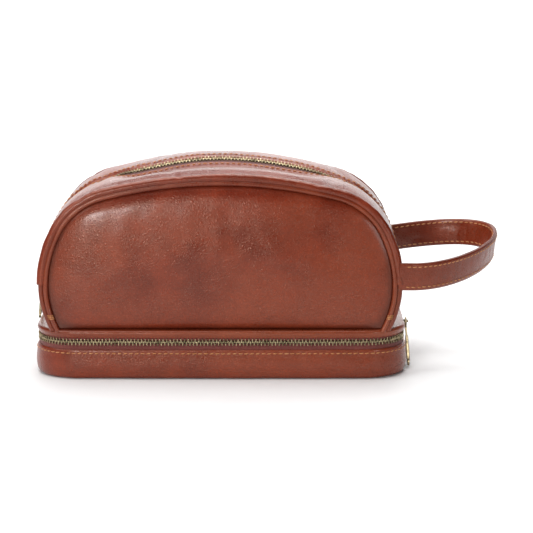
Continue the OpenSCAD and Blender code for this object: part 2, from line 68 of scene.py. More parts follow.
tray = {
    "corner": 31 * mm,  # plan radius of the corners
    "bulge": 1.3 * mm,  # how far the wall swells at half height
    "bow": 1.2 * mm,  # how far the long sides bow outwards
    "zipEnd": stopHigh.y + 0.3 * mm,
    "tapeInset": 1.5 * mm,
}
chain = {
    "width": 4.8 * mm,
    "pitch": 2.55 * mm,
    "depth": 2.8 * mm,
    "mesh": 0.6 * mm,  # how far a tooth reaches past the chain's middle
    "parted": 0.9 * mm,
    "toothWidth": 1.02 * mm,
    "z": (sliderLow.z + sliderHigh.z) / 2,
}
shell = {
    "ridgeInset": 3.5 * mm,
    "footInset": 11.5 * mm,
    "widest": 30.6 * mm,
    "ridgeHeight": 109.7 * mm,
    "shoulder": 55 * mm,
    "shoulderInset": 58.7 * mm,
    "shoulderHeight": 45.7 * mm,
    "pipingInset": 5 * mm,
    "pipingRadius": 1.8 * mm,
    "seamInset": 5.5 * mm,
    "seamLean": 7 * mm,
    "leather": 1.6 * mm,
    "zipShoulder": 60 * mm,
    "zipInset": 5 * mm,
    "zipCentre": 42.6 * mm,
    "zipGap": 12 * mm,
}


def lerp(a, b, t):
    return a + (b - a) * t


def smooth(t):
    t = min(max(t, 0.0), 1.0)
    return t * t * (3 - 2 * t)


def hump(x, centre, width):
    return exp(-(((x - centre) / width) ** 2))


def ripple(point, size, seed=0.0, octaves=3):
    # smooth noise from about -1 to 1, with waves of the given size
    return noise.fractal(Vector(point) / size + Vector((seed, seed * 1.7, -seed)), 0.9, 2.1, octaves)


# shader nodes
class Wire:
    # a shader socket that takes part in Python expressions
    def __init__(self, recipe, socket):
        self.recipe, self.socket = recipe, socket

    def sum(self, kind, a, b=0.0):
        return self.recipe.make("ShaderNodeMath", {"operation": kind}, {0: a, 1: b})

    def __add__(self, other):
        return self.sum("ADD", self, other)

    def __radd__(self, other):
        return self.sum("ADD", other, self)

    def __sub__(self, other):
        return self.sum("SUBTRACT", self, other)

    def __rsub__(self, other):
        return self.sum("SUBTRACT", other, self)

    def __mul__(self, other):
        return self.sum("MULTIPLY", self, other)

    def __rmul__(self, other):
        return self.sum("MULTIPLY", other, self)

    def __truediv__(self, other):
        return self.sum("DIVIDE", self, other)

    def __rtruediv__(self, other):
        return self.sum("DIVIDE", other, self)

    def __abs__(self):
        return self.sum("ABSOLUTE", self)

    def out(self, name):
        return Wire(self.recipe, self.socket.node.outputs[name])


class Recipe:
    # the nodes of one material
    def __init__(self, name):
        self.material = bpy.data.materials.new(name)
        self.material.use_nodes = True
        self.tree = self.material.node_tree
        self.tree.nodes.clear()

    def make(self, kind, settings=None, sockets=None, out=0):
        node = self.tree.nodes.new(kind)
        for key, value in (settings or {}).items():
            if key == "stops":
                while len(node.color_ramp.elements) < len(value):
                    node.color_ramp.elements.new(0.5)
                for element, (place, colour) in zip(node.color_ramp.elements, value):
                    element.position = place
                    element.color = (*colour, 1) if len(colour) == 3 else colour
            else:
                setattr(node, key, value)
        for key, value in (sockets or {}).items():
            socket = node.inputs[key]
            if isinstance(value, Wire):
                self.tree.links.new(value.socket, socket)
            elif socket.type == "RGBA" and len(value) == 3:
                socket.default_value = (*value, 1)
            else:
                socket.default_value = value
        return Wire(self, node.outputs[out]) if len(node.outputs) else None

    def mix(self, share, a, b, blend="MIX"):
        return self.make(
            "ShaderNodeMix", {"data_type": "RGBA", "blend_type": blend}, {0: share, 6: a, 7: b}, out=2
        )

    def ramp(self, value, low, high, toLow=0.0, toHigh=1.0):
        return self.make(
            "ShaderNodeMapRange",
            {"interpolation_type": "SMOOTHSTEP"},
            {"Value": value, "From Min": low, "From Max": high, "To Min": toLow, "To Max": toHigh},
        )

    def place(self, scale=(1, 1, 1), spin=(0, 0, 0)):
        where = self.make("ShaderNodeTexCoord", out="Object")
        return self.make("ShaderNodeMapping", {}, {"Vector": where, "Scale": scale, "Rotation": spin})

    def noise(self, where, scale, detail=4.0, rough=0.55, distortion=0.0):
        return self.make(
            "ShaderNodeTexNoise",
            {},
            {"Vector": where, "Scale": scale, "Detail": detail, "Roughness": rough, "Distortion": distortion},
        )

    def cells(self, where, scale):
        settings = {"feature": "DISTANCE_TO_EDGE"}
        return self.make("ShaderNodeTexVoronoi", settings, {"Vector": where, "Scale": scale})

    def wave(self, where, scale):
        settings = {"bands_direction": "DIAGONAL"}
        return self.make("ShaderNodeTexWave", settings, {"Vector": where, "Scale": scale})

    def push(self, where, by, amount):
        # moves a place by a noise colour, so that cells and waves aren't regular
        part = self.make("ShaderNodeVectorMath", {"operation": "SUBTRACT"}, {0: by, 1: (0.5, 0.5, 0.5)})
        part = self.make("ShaderNodeVectorMath", {"operation": "SCALE"}, {0: part, "Scale": amount})
        return self.make("ShaderNodeVectorMath", {"operation": "ADD"}, {0: where, 1: part})

    def mark(self, name):
        return self.make("ShaderNodeAttribute", {"attribute_name": name}, out="Fac")

    def bump(self, height, depth, strength=1.0, normal=None):
        sockets = {"Height": height, "Distance": depth, "Strength": strength}
        if normal is not None:
            sockets["Normal"] = normal
        return self.make("ShaderNodeBump", {}, sockets)

    def finish(self, **sockets):
        named = {key.replace("_", " "): value for key, value in sockets.items()}
        shader = self.make("ShaderNodeBsdfPrincipled", {}, named)
        self.make("ShaderNodeOutputMaterial", {}, {"Surface": shader})
        return self.material


def leatherFinish(name, finish):
    r = Recipe(name)
    where = r.place()
    seam = r.mark("seam")
    broad = r.noise(where, 9, 3, 0.5)
    cloudy = r.noise(where, 34, 5, 0.6, 0.4)
    drift = r.noise(where, 420, 2, 0.5).out("Color")
    cells = r.push(where, drift, 0.0016)
    pebble = r.cells(cells, 1 / finish["grain"])
    fine = r.cells(cells, 2.3 / finish["grain"])
    creased = r.noise(r.place((1.0, 1.0, 2.6), (0.3, 0.5, 0.2)), 150, 4, 0.6, 1.2)
    crease = 1 - r.ramp(abs(creased - 0.5), 0.0, 0.045)
    grain = r.ramp(pebble, 0.0, 0.5) * 0.65 + r.ramp(fine, 0.0, 0.45) * 0.35
    pull = r.ramp(broad, 0.35, 0.65)
    tone = r.mix(r.ramp(cloudy, 0.3, 0.72), finish["dark"], finish["base"])
    tone = r.mix(pull * 0.55, tone, finish["pale"])
    # painted shade: darker in the crevices between the grain's pebbles
    tone = r.mix((1 - grain) * 0.35, tone, finish["deep"])
    # painted shade: darker along the creases
    tone = r.mix(crease * 0.25, tone, finish["deep"])
    # painted shade from the seam mark: darker beside the piping, between parts and at the feet of panels; on
    # the handle the same mark is its dark edge paint
    tone = r.mix(seam * 0.75, tone, finish["deep"])
    rough = finish["rough"] + (1 - grain) * 0.1 + r.ramp(cloudy, 0.3, 0.7) * 0.08 + seam * 0.15
    height = grain * 1.0 - crease * 0.5 * pull
    normal = r.bump(height, finish["depth"], finish["relief"])
    normal = r.bump(r.noise(where, 60, 3, 0.5), 0.0009, finish["sway"], normal)
    return r.finish(
        Base_Color=tone,
        Roughness=rough,
        Normal=normal,
        Coat_Weight=0.22,
        Coat_Roughness=0.17,
        Specular_IOR_Level=0.55,
        Specular_Tint=(1.0, 0.66, 0.5, 1.0),
    )


cognac = {
    "base": (0.25, 0.0275, 0.0068),
    "dark": (0.15, 0.015, 0.005),
    "pale": (0.3, 0.05, 0.016),
    # deep: the colour of painted shade in crevices, creases and seams, and of the handle's dark edge paint
    "deep": (0.03, 0.003, 0.0015),
    "grain": 2.0 * mm,
    "depth": 0.0003,
    "relief": 0.42,
    "sway": 0.16,
    "rough": 0.19,
}
rolledEdge = dict(cognac, base=(0.25, 0.038, 0.013), dark=(0.16, 0.02, 0.007))
rolledEdge.update(pale=(0.34, 0.07, 0.025), relief=0.15)
leather = leatherFinish("cognacLeather", cognac)
edgeLeather = leatherFinish("rolledEdgeLeather", rolledEdge)


def brassFinish():
    r = Recipe("antiqueBrass")
    where = r.place()
    patina = r.ramp(r.noise(where, 260, 6, 0.65), 0.42, 0.68)
    grime = r.ramp(r.noise(where, 900, 3, 0.6), 0.4, 0.7)
    tone = r.mix(patina, (0.4, 0.32, 0.19), (0.13, 0.1, 0.055))
    tone = r.mix(grime * 0.35, tone, (0.08, 0.06, 0.03))
    rough = 0.34 + patina * 0.16 + grime * 0.1
    scratch = r.noise(r.place((1, 1, 14), (0.4, 0.2, 0)), 900, 2, 0.5)
    return r.finish(Base_Color=tone, Metallic=1.0, Roughness=rough, Normal=r.bump(scratch, 0.00003, 0.5))


def weaveFinish(name, base, deep, pitch, rough=0.8):
    r = Recipe(name)
    where = r.place()
    warp = r.wave(where, 0.32 / pitch)
    weft = r.wave(r.place((-1, 1, 1)), 0.32 / pitch)
    thread = warp * 0.5 + weft * 0.5
    slub = r.noise(where, 300, 4, 0.6)
    tone = r.mix(r.ramp(thread, 0.15, 0.8), deep, base)
    tone = r.mix(r.ramp(slub, 0.35, 0.7) * 0.4, tone, deep)
    return r.finish(
        Base_Color=tone,
        Roughness=rough + slub * 0.1,
        Normal=r.bump(thread, 0.0002, 0.7),
        Sheen_Weight=0.25,
        Sheen_Roughness=0.5,
    )


def threadFinish():
    r = Recipe("waxedThread")
    twist = r.wave(r.place(), 900.0)
    worn = r.noise(r.place(), 500, 3, 0.5)
    tone = r.mix(r.ramp(twist, 0.1, 0.9), (0.3, 0.1, 0.03), (0.62, 0.26, 0.085))
    tone = r.mix(r.ramp(worn, 0.45, 0.75) * 0.4, tone, (0.72, 0.42, 0.2))
    return r.finish(Base_Color=tone, Roughness=0.5 + worn * 0.1, Normal=r.bump(twist, 0.0001, 0.6))


brass = brassFinish()
tapeCloth = weaveFinish("zipTape", (0.24, 0.058, 0.045), (0.1, 0.018, 0.014), 0.5 * mm)
liningCloth = weaveFinish("liningCloth", (0.5, 0.36, 0.24), (0.3, 0.2, 0.12), 0.6 * mm, 0.7)
threadStuff = threadFinish()
print("materials made")


# mesh helpers
def addObject(name, data):
    made = bpy.data.objects.new(name, data)
    bpy.context.scene.collection.objects.link(made)
    return made


def newPiece(name, points, faces, marks=None, material=None):
    mesh = bpy.data.meshes.new(name)
    mesh.from_pydata([tuple(p) for p in points], [], faces)
    mesh.validate()
    mesh.update()
    if marks is not None:
        # the seam mark sets how far the leather is darkened: painted shade at seams, edges and feet, and the
        # handle's dark edge paint
        layer = mesh.attributes.new("seam", "FLOAT", "POINT")
        layer.data.foreach_set("value", np.asarray(marks, np.float32))
    mesh.polygons.foreach_set("use_smooth", [True] * len(mesh.polygons))
    if material is not None:
        mesh.materials.append(material)
    return addObject(name, mesh)


def gridPiece(name, rows, marks=None, material=None, loop=False, ring=False):
    # rows of points; loop closes each row, ring joins the last row to the first
    count, width = len(rows), len(rows[0])
    points = [p for row in rows for p in row]
    faces = []
    for i in range(count if ring else count - 1):
        for j in range(width if loop else width - 1):
            a, b = i * width, ((i + 1) % count) * width
            k = (j + 1) % width
            faces.append((a + j, a + k, b + k, b + j))
    flat = None if marks is None else [m for row in marks for m in row]
    return newPiece(name, points, faces, flat, material)


def modify(piece, kind, **settings):
    modifier = piece.modifiers.new(kind.lower(), kind)
    for key, value in settings.items():
        setattr(modifier, key, value)
    return piece


def settleShape(piece):
    # replaces a piece's mesh by what its modifiers make of it
    graph = bpy.context.evaluated_depsgraph_get()
    made = bpy.data.meshes.new_from_object(piece.evaluated_get(graph))
    piece.modifiers.clear()
    piece.data = made
    made.polygons.foreach_set("use_smooth", [True] * len(made.polygons))
    return piece


def faceOutward(piece):
    form = bmesh.new()
    form.from_mesh(piece.data)
    bmesh.ops.recalc_face_normals(form, faces=form.faces)
    form.to_mesh(piece.data)
    form.free()
    return piece


def fillHoles(piece, within=1.0):
    # closes the open edges that start nearer than this to the middle, and turns every face outward
    form = bmesh.new()
    form.from_mesh(piece.data)
    rims = [e for e in form.edges if e.is_boundary and e.verts[0].co.length < within]
    bmesh.ops.holes_fill(form, edges=rims, sides=0)
    bmesh.ops.recalc_face_normals(form, faces=form.faces)
    form.to_mesh(piece.data)
    form.free()
    return piece


def flipUnless(piece, face, direction):
    # turns the faces over when the given one looks away from a direction
    if piece.data.polygons[face].normal.dot(Vector(direction)) < 0:
        piece.data.flip_normals()


def settleBetween(piece, nodes):
    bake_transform(piece)
    if nodes:
        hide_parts(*nodes)


def thicken(piece, thickness):
    modify(piece, "SOLIDIFY", thickness=thickness, offset=-1.0, use_even_offset=False)
    return piece


def joinPieces(name, pieces):
    for piece in pieces:
        piece.data.transform(piece.matrix_world)
        piece.matrix_world = Matrix.Identity(4)
    first = pieces[0]
    with bpy.context.temp_override(active_object=first, selected_editable_objects=pieces):
        bpy.ops.object.join()
    first.name = name
    first.data.name = name
    return first


def settle(piece, body, slot, *nodes):
    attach(piece, body)
    if nodes:
        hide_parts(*nodes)
    return piece


# lines of the bag
def planPoint(inset, s, total):
    # a point and its outward normal on the base's outline at a share of the way round,
    # starting at the middle of the back and going left, forward and round to the right
    length, depth, radius = halfLength - inset, halfDepth - inset, tray["corner"] - inset
    flatX, flatY = length - radius, depth - radius
    arc = radius * pi / 2
    runs = [flatX, arc, 2 * flatY, arc, 2 * flatX, arc, 2 * flatY, arc, flatX]
    far = (s / total) * sum(runs)
    step = 0
    while step < 8 and far > runs[step]:
        far -= runs[step]
        step += 1
    if step % 2:  # a corner, a quarter turn from one side to the next
        cornerX, cornerY = ((-flatX, flatY), (-flatX, -flatY), (flatX, -flatY), (flatX, flatY))[step // 2]
        turn = far / radius + pi / 2 * (step // 2 + 1)
        n = (cos(turn), sin(turn))
        p = (cornerX + radius * n[0], cornerY + radius * n[1])
    else:
        sides = (
            ((-far, depth), (0, 1)),
            ((-length, flatY - far), (-1, 0)),
            ((-flatX + far, -depth), (0, -1)),
            ((length, -flatY + far), (1, 0)),
            ((flatX - far, depth), (0, 1)),
        )
        p, n = sides[step // 2]
    bow = tray["bow"] * max(0.0, 1 - (p[0] / flatX) ** 2) * max(-n[1], 0.0)
    return Vector((p[0] + n[0] * bow, p[1] + n[1] * bow, 0)), Vector((n[0], n[1], 0))


def planLine(inset=0.0, count=340):
    return [planPoint(inset, i, count) for i in range(count)]


def openLine(inset=0.0, count=900):
    # the part of the outline in front of the zip's ends, from left to right
    line = planLine(inset, count)
    return [(p, n) for p, n in line if p.y < tray["zipEnd"]]


def backLine(inset=0.0, count=900):
    line = planLine(inset, count)
    half = len(line) // 2
    line = line[half:] + line[:half]
    return [(p, n) for p, n in line if p.y >= tray["zipEnd"] - 1 * mm]


def evenly(line, spacing):
    # points of a line at an even spacing, as (point, normal, heading)
    points = [p for p, n in line]
    gaps = [0.0]
    for a, b in zip(points, points[1:]):
        gaps.append(gaps[-1] + (b - a).length)
    count = max(2, int(gaps[-1] / spacing) + 1)
    made, k = [], 0
    for i in range(count):
        far = gaps[-1] * i / (count - 1)
        while k < len(gaps) - 2 and gaps[k + 1] < far:
            k += 1
        t = (far - gaps[k]) / max(gaps[k + 1] - gaps[k], 1e-9)
        p = lerp(points[k], points[k + 1], t)
        n = lerp(line[k][1], line[k + 1][1], t).normalized()
        made.append((p, n, (points[k + 1] - points[k]).normalized()))
    return made


class Arch:
    # half-width and height of a D outline; its crown is an arc tangent to both shoulders
    def __init__(self, centreX, centreZ, radius, top, half, widestZ, start):
        self.cx, self.cz, self.r, self.top = centreX, centreZ, radius, top
        self.half, self.widest = half, widestZ
        rise = top - centreZ
        self.crown = (rise * rise - radius**2 + centreX**2) / (2 * (rise - radius))
        self.turn = acos(centreX / (self.crown - radius))
        self.start = radians(start)

    def shifted(self, inset):
        made = Arch(self.cx, self.cz, self.r - inset, self.top - inset, self.half - inset, self.widest, 0)
        made.start = self.start
        return made

    def sideX(self, z):
        startX = self.cx + self.r * cos(self.start)
        startZ = self.cz + self.r * sin(self.start)
        if z < self.widest:
            share = (self.widest - z) / (self.widest - footZ)
            return self.half - (shell["footInset"] - shell["ridgeInset"]) * share * share
        if abs(self.half - self.cx - self.r) < 1e-6:
            return self.cx + sqrt(max(self.r**2 - (z - self.cz) ** 2, 0))
        return self.half - (self.half - startX) * ((z - self.widest) / (startZ - self.widest)) ** 2

    def point(self, t, low=None):
        # t runs from 0 at the left foot over the crown at 0.5 to 1 at the right foot
        low = footZ if low is None else low
        side = -1 if t < 0.5 else 1
        u = 2 * t if t < 0.5 else 2 * (1 - t)
        if u < 0.36:
            z = lerp(low, self.cz + self.r * sin(self.start), u / 0.36)
            return Vector((side * self.sideX(z), 0, z))
        if u < 0.58:
            turn = lerp(self.start, self.turn, (u - 0.36) / 0.22)
            return Vector((side * (self.cx + self.r * cos(turn)), 0, self.cz + self.r * sin(turn)))
        turn = lerp(self.turn, pi / 2, (u - 0.58) / 0.42)
        x = self.crown * cos(turn)
        return Vector((side * x, 0, self.top - self.crown + self.crown * sin(turn)))

    def outward(self, t, low=None):
        a, b = self.point(max(t - 0.003, 0), low), self.point(min(t + 0.003, 1), low)
        d = b - a
        return Vector((-d.z, 0, d.x)).normalized()


ridge = Arch(
    halfLength - shell["ridgeInset"] - shell["shoulderInset"],
    footZ + shell["shoulderHeight"],
    shell["shoulder"],
    footZ + shell["ridgeHeight"],
    halfLength - shell["ridgeInset"],
    footZ + shell["widest"],
    27,
)
seam = ridge.shifted(shell["pipingInset"])
topZip = Arch(
    halfLength - shell["zipInset"] - shell["zipShoulder"],
    footZ + shell["zipCentre"],
    shell["zipShoulder"],
    zipTop,
    halfLength - shell["zipInset"],
    footZ,
    8,
)


def seamY(z):
    return halfDepth - shell["seamInset"] - shell["seamLean"] * (z - footZ) / (seam.top - footZ)


slip = {
    "start": -85 * mm,  # the zip stays straight to the left of this, where its slider runs
    "bends": ((-10 * mm, -56 * mm, 26 * mm), (-2 * mm, 50 * mm, 30 * mm), (1.5 * mm, 0.0, 20 * mm)),
    "twist": 0.52,  # how far the zip faces the front, in radians
    "rise": 1.5 * mm,  # how far the chain stands up out of the leather
}


def zipDrift(x):
    # the top zip wanders off mid-depth where the leather has settled
    wander = sum(by * hump(x, centre, width) for by, centre, width in slip["bends"])
    return wander * smooth((x - slip["start"]) / (20 * mm))


def zipTwist(x):
    # where the zip has slipped forward it faces the front a little
    return slip["twist"] * smooth((x - slip["start"]) / (26 * mm)) * (1 - smooth((x - 55 * mm) / (35 * mm)))


def chainRise(x):
    rise = slip["rise"] * smooth((x - slip["start"]) / (16 * mm))
    return rise * (1 - 0.6 * smooth((x - 60 * mm) / (30 * mm)))


def sweep(name, line, profile, material, closed=False, wobble=0.0, seed=0.0, marks=None):
    # profile is a list of (outward, height) that is carried along a line
    rows, tones = [], []
    for p, n, *rest in line:
        row = []
        for out, z in profile:
            q = p + n * out + Vector((0, 0, z))
            if wobble:
                rise = ripple(q, 0.03, seed + 5) * wobble * 0.6
                q = q + n * ripple(q, 0.022, seed) * wobble + Vector((0, 0, rise))
            row.append(q)
        rows.append(row)
        tones.append(marks if marks else [0.0] * len(profile))
    piece = gridPiece(name, rows, tones, material, ring=closed)
    return faceOutward(piece)


def curveThrough(a, b, c, d, t):
    # a point between b and c on the smooth line through all four
    made = []
    for p, q, r, s in zip(a, b, c, d):
        bent = (2 * p - 5 * q + 4 * r - s) * t * t + (3 * q - p - 3 * r + s) * t**3
        made.append(0.5 * (2 * q + (r - p) * t + bent))
    return tuple(made)


def roundProfile(points, turns=4):
    # a smooth line through chosen points
    ends = [points[0], *points, points[-1]]
    made = [
        curveThrough(*ends[i : i + 4], k / turns) for i in range(len(points) - 1) for k in range(turns)
    ]
    return made + [tuple(points[-1])]


def profileOf(points, turns=4):
    # a smooth profile from points given in millimetres
    return [(a * mm, z * mm) for a, z in roundProfile(points, turns)]


def roundOutline(points, turns=4):
    # the same, closed into a ring
    ring = [points[-1], *points, *points[:2]]
    return [curveThrough(*ring[i : i + 4], k / turns) for i in range(len(points)) for k in range(turns)]


def tubePiece(name, path, radius, material, sides=14, seed=0.0, wobble=0.0, marks=0.0):
    rows = []
    for i, p in enumerate(path):
        ahead = (path[min(i + 1, len(path) - 1)] - path[max(i - 1, 0)]).normalized()
        side = ahead.cross(Vector((0, 1, 0.02))).normalized()
        up = ahead.cross(side)
        swell = radius * (1 + wobble * ripple(p, 0.012, seed))
        rows.append(
            [
                p + side * swell * cos(a) + up * swell * sin(a)
                for a in (2 * pi * k / sides for k in range(sides))
            ]
        )
    return faceOutward(gridPiece(name, rows, [[marks] * sides for _ in rows], material, loop=True))


stitch = {"pitch": 4.1 * mm, "dash": 3.3 * mm, "radius": 0.42 * mm, "sides": 6, "steps": 6}


def stitchRow(name, line, tilt=0.12):
    # one thread dash after another along a line of (point, normal)
    places = evenly(line, stitch["pitch"])
    points, faces = [], []
    random.seed(len(places))
    for p, n, ahead in places:
        across = n.cross(ahead).normalized()
        lean = tilt + random.uniform(-0.05, 0.05)
        along = (ahead + across * lean).normalized()
        first = len(points)
        for i in range(stitch["steps"] + 1):
            t = i / stitch["steps"]
            swell = stitch["radius"] * (0.55 + 0.45 * sin(pi * t))
            middle = p + along * (t - 0.5) * stitch["dash"]
            middle = middle + n * stitch["radius"] * (1.5 * sin(pi * t) ** 0.6 - 1.0)
            for k in range(stitch["sides"]):
                turn = 2 * pi * k / stitch["sides"]
                points.append(middle + across * swell * cos(turn) + n * swell * sin(turn))
        for i in range(stitch["steps"]):
            for k in range(stitch["sides"]):
                a, b = first + i * stitch["sides"], first + (i + 1) * stitch["sides"]
                m = (k + 1) % stitch["sides"]
                faces.append((a + k, a + m, b + m, b + k))
        last = first + stitch["steps"] * stitch["sides"]
        faces.append(tuple(first + k for k in reversed(range(stitch["sides"]))))
        faces.append(tuple(last + k for k in range(stitch["sides"])))
    return faceOutward(newPiece(name, points, faces, None, threadStuff))


# camera, light and floor
view = {
    "lens": 137.0,
    "distance": 1414 * mm,  # from the front of the base
    "height": 350 * mm,
    "side": 33 * mm,
    "aim": (0.033, 0.0, 0.069),
}


def setStage():
    camera = addObject("camera", bpy.data.cameras.new("camera"))
    camera.data.lens = view["lens"]
    camera.location = (view["side"], -halfDepth - view["distance"], view["height"])
    look = Vector(view["aim"]) - camera.location
    camera.rotation_euler = look.to_track_quat("-Z", "Y").to_euler()
    bpy.context.scene.camera = camera

    sweepRows = []
    for i in range(61):
        y = lerp(-3.0, 2.4, i / 60)
        bend = max(0.0, y - 1.55)
        sweepRows.append([Vector((x, min(y, 1.55 + bend * 0.6), bend**2 * 1.6)) for x in (-3, -1, 1, 3)])
    r = Recipe("paleFloor")
    speck = r.noise(r.place(), 40, 3, 0.5)
    tone = r.mix(speck, (0.80, 0.80, 0.80), (0.84, 0.84, 0.84))
    floor = gridPiece("floor", sweepRows, None, r.finish(Base_Color=tone, Roughness=0.6))
    faceOutward(floor)
    for face in floor.data.polygons:
        if face.normal.z < -0.5:
            floor.data.flip_normals()
            break

    lamps = {
        "skyBox": ((-0.1, 0.15, 1.25), (0, 0.0, 0.06), 1.5, 1.0, 22.0),
        "frontLeft": ((-0.46, -1.5, 0.48), (0, 0, 0.1), 0.3, 0.24, 9.8),
        "frontRight": ((0.95, -1.2, 0.4), (0.05, 0, 0.09), 0.25, 0.4, 3.0),
        "keyLeft": ((-1.3, -0.7, 1.1), (0, 0, 0.06), 0.8, 0.8, 9.0),
        "backdrop": ((0, 0.55, 1.1), (0, 1.35, 0.3), 1.6, 0.4, 10.0),
        "farBackdrop": ((0, 1.35, 1.2), (0, 1.9, 0.2), 1.6, 0.4, 16.0),
    }
    for name, (where, target, wide, tall, power) in lamps.items():
        lamp = bpy.data.lights.new(name, "AREA")
        lamp.shape, lamp.size, lamp.size_y, lamp.energy = "RECTANGLE", wide, tall, power
        holder = addObject(name, lamp)
        holder.location = where
        holder.rotation_euler = (Vector(target) - Vector(where)).to_track_quat("-Z", "Y").to_euler()
    world = bpy.data.worlds.new("studio")
    bpy.context.scene.world = world
    world.use_nodes = True
    world.node_tree.nodes["Background"].inputs["Color"].default_value = (1, 1, 1, 1)
    world.node_tree.nodes["Background"].inputs["Strength"].default_value = 0.07
    bpy.context.scene.view_settings.view_transform = "Standard"


setStage()
print("stage set")


# base tray
def makeTray():
    wall = [
        (-2.4, 13.5), (-2.3, 19.6), (-1.8, 20.9), (-0.9, 21.6), (-0.15, 21.2), (0.25, 20.2), (0.6, 17.0),
        (1.15, 12.5), (1.3, 9.0), (1.0, 5.2), (0.2, 2.3), (-1.6, 0.5), (-4.2, 0.02), (-7.0, 0.0),
    ]
    profile = profileOf(wall)
    # painted shade: the seam mark darkens the wall's foot on the floor and its inner face under the rim
    marks = [0.35 if z < 0.4 * mm or (a < -1.5 * mm and z > 10 * mm) else 0.0 for a, z in profile]
    around = planLine()
    body = sweep("trayWall", around, profile, leather, closed=True, wobble=0.32 * mm, seed=3.0, marks=marks)
    settle(body, "base_tray", "leather", "base_wall")

    floorLine = planLine(6.5 * mm)
    rows = [[Vector((p.x * s, p.y * s, 0.01 * mm)) for p, n in floorLine] for s in (1, 0.9, 0.6, 0.25)]
    bottom = gridPiece("trayBottom", rows, None, leather, loop=True)
    fillHoles(bottom, 0.05)
    modify(bottom, "SOLIDIFY", thickness=1.6 * mm, offset=-1.0)
    if sum(face.normal.z for face in bottom.data.polygons) > 0:
        bottom.data.flip_normals()
    settle(bottom, "base_tray", "leather", "base_bottom_panel", "base_stiffener")

    wrap = [
        (-2.2, 20.0), (0.0, 20.8), (0.35, 22.4), (0.45, 26.0), (0.35, 30.0), (0.05, 32.8), (-0.6, 33.5),
        (-1.3, 32.9), (-1.5, 29.0), (-1.6, 21.0),
    ]
    profile = profileOf(wrap)
    piece = sweep("backWrap", backLine(), profile, leather, wobble=0.2 * mm, seed=8.0)
    settle(piece, "base_tray", "leather", "base_back_wrap")

    stitches = [(p + n * 0.42 * mm + Vector((0, 0, 19.0 * mm)), n) for p, n in planLine(0, 900)]
    stitches.append(stitches[0])
    settle(stitchRow("trayStitching", stitches), "base_tray", "thread")

    inner = [
        (-2.5, 20.9), (-3.0, 20.2), (-3.15, 16.0), (-3.2, 9.0), (-3.7, 6.2), (-5.2, 4.9), (-9.0, 4.5),
        (-20.0, 4.45),
    ]
    profile = profileOf(inner, 3)
    around = planLine(0, 300)
    walls = sweep("trayLiningWall", around, profile, liningCloth, closed=True, wobble=0.25 * mm, seed=12.0)
    edge = [Vector((p.x, p.y, 4.46 * mm)) - n * 19.5 * mm for p, n in around]
    floor = newPiece("trayLining", edge, [tuple(range(len(edge)))], None, liningCloth)
    flipUnless(floor, 0, (0, 0, 1))
    lining = joinPieces("trayLining", [floor, walls])
    settle(lining, "base_tray", "lining", "base_lining")


makeTray()


def tapeRow(name, low, high, body, node, tuck):
    line = openLine(tray["tapeInset"] + 0.3 * mm)
    profile = [(0.15 * mm, low), (0.3 * mm, lerp(low, high, 0.5)), (0.3 * mm, high), (-0.3 * mm, high)]
    profile += [(-0.3 * mm, lerp(low, high, 0.5)), (-0.3 * mm, low)]
    piece = sweep(name, line, profile, tapeCloth, wobble=0.08 * mm, seed=tuck)
    return settle(piece, body, "zip_tape", node)


tapeRow("lowerTape", wallTop - 7 * mm, chain["z"] - 1.2 * mm, "base_tray", "lower_zip_lower_tape", 1.0)
tapeRow("rimTape", chain["z"] + 1.2 * mm, ledgeLow.z - 0.2 * mm, "upper_bag", "lower_zip_upper_tape", 2.0)


def toothTemplate():
    # a crimped tooth: two legs over the tape and a rounded nib; +Y points at the other row
    form = bmesh.new()
    wide, deep = chain["toothWidth"], chain["depth"]
    near, far = -chain["width"] / 2, chain["mesh"]
    for low, high, w, d in ((near, near * 0.35, 0.8, 1.0), (near * 0.45, far, 1.0, 0.86)):
        made = bmesh.ops.create_cube(form, size=1.0)
        bmesh.ops.scale(form, vec=(wide * w, high - low, deep * d), verts=made["verts"])
        bmesh.ops.translate(form, vec=(0, (low + high) / 2, 0), verts=made["verts"])
    made = bmesh.ops.create_uvsphere(form, u_segments=8, v_segments=5, radius=0.34 * mm)
    bmesh.ops.scale(form, vec=(1.1, 1.2, 2.4), verts=made["verts"])
    bmesh.ops.translate(form, vec=(0, far - 0.35 * mm, 0), verts=made["verts"])
    boxes = [e for e in form.edges if len(e.link_faces) == 2 and e.calc_length() > 0.5 * mm]
    bmesh.ops.bevel(form, geom=boxes, offset=0.16 * mm, segments=2, profile=0.6, affect="EDGES")
    form.verts.index_update()
    points = np.array([v.co for v in form.verts])
    faces = [tuple(v.index for v in f.verts) for f in form.faces]
    form.free()
    return points, faces


toothPoints, toothFaces = toothTemplate()


def toothRow(name, places):
    # places are (centre, along the chain, towards the other row, out of the tape)
    points, faces = [], []
    for centre, along, across, out in places:
        turn = np.array([along, across, out])
        first = len(points)
        points.extend(toothPoints @ turn + np.array(centre))
        faces.extend(tuple(first + k for k in face) for face in toothFaces)
    return newPiece(name, points, faces, None, brass)


def makeLowerTeeth():
    line = openLine(tray["tapeInset"] + 0.3 * mm)
    steps = evenly(line, chain["pitch"] / 2)
    sliderY = (sliderLow.y + sliderHigh.y) / 2
    rows = {1: [], -1: []}
    for i, (p, n, ahead) in enumerate(steps[2:-3]):
        side = 1 if i % 2 else -1
        behind = p.x > 0 and p.y > sliderY - 1 * mm and abs(n.y) < 0.5
        if behind and p.y < sliderY + 7.5 * mm:
            continue
        z = chain["z"] + (side * chain["parted"] if behind else 0) + 0.1 * mm * ripple(p, 0.05, 4.0)
        rows[side].append((Vector((p.x, p.y, z)), ahead, Vector((0, 0, -side)), n))
    settle(toothRow("lowerTeeth", rows[-1]), "base_tray", "brass", "lower_zip_lower_teeth")
    settle(toothRow("rimTeeth", rows[1]), "upper_bag", "brass", "lower_zip_upper_teeth")
    print("lower chain:", len(rows[1]), "teeth a row")


makeLowerTeeth()


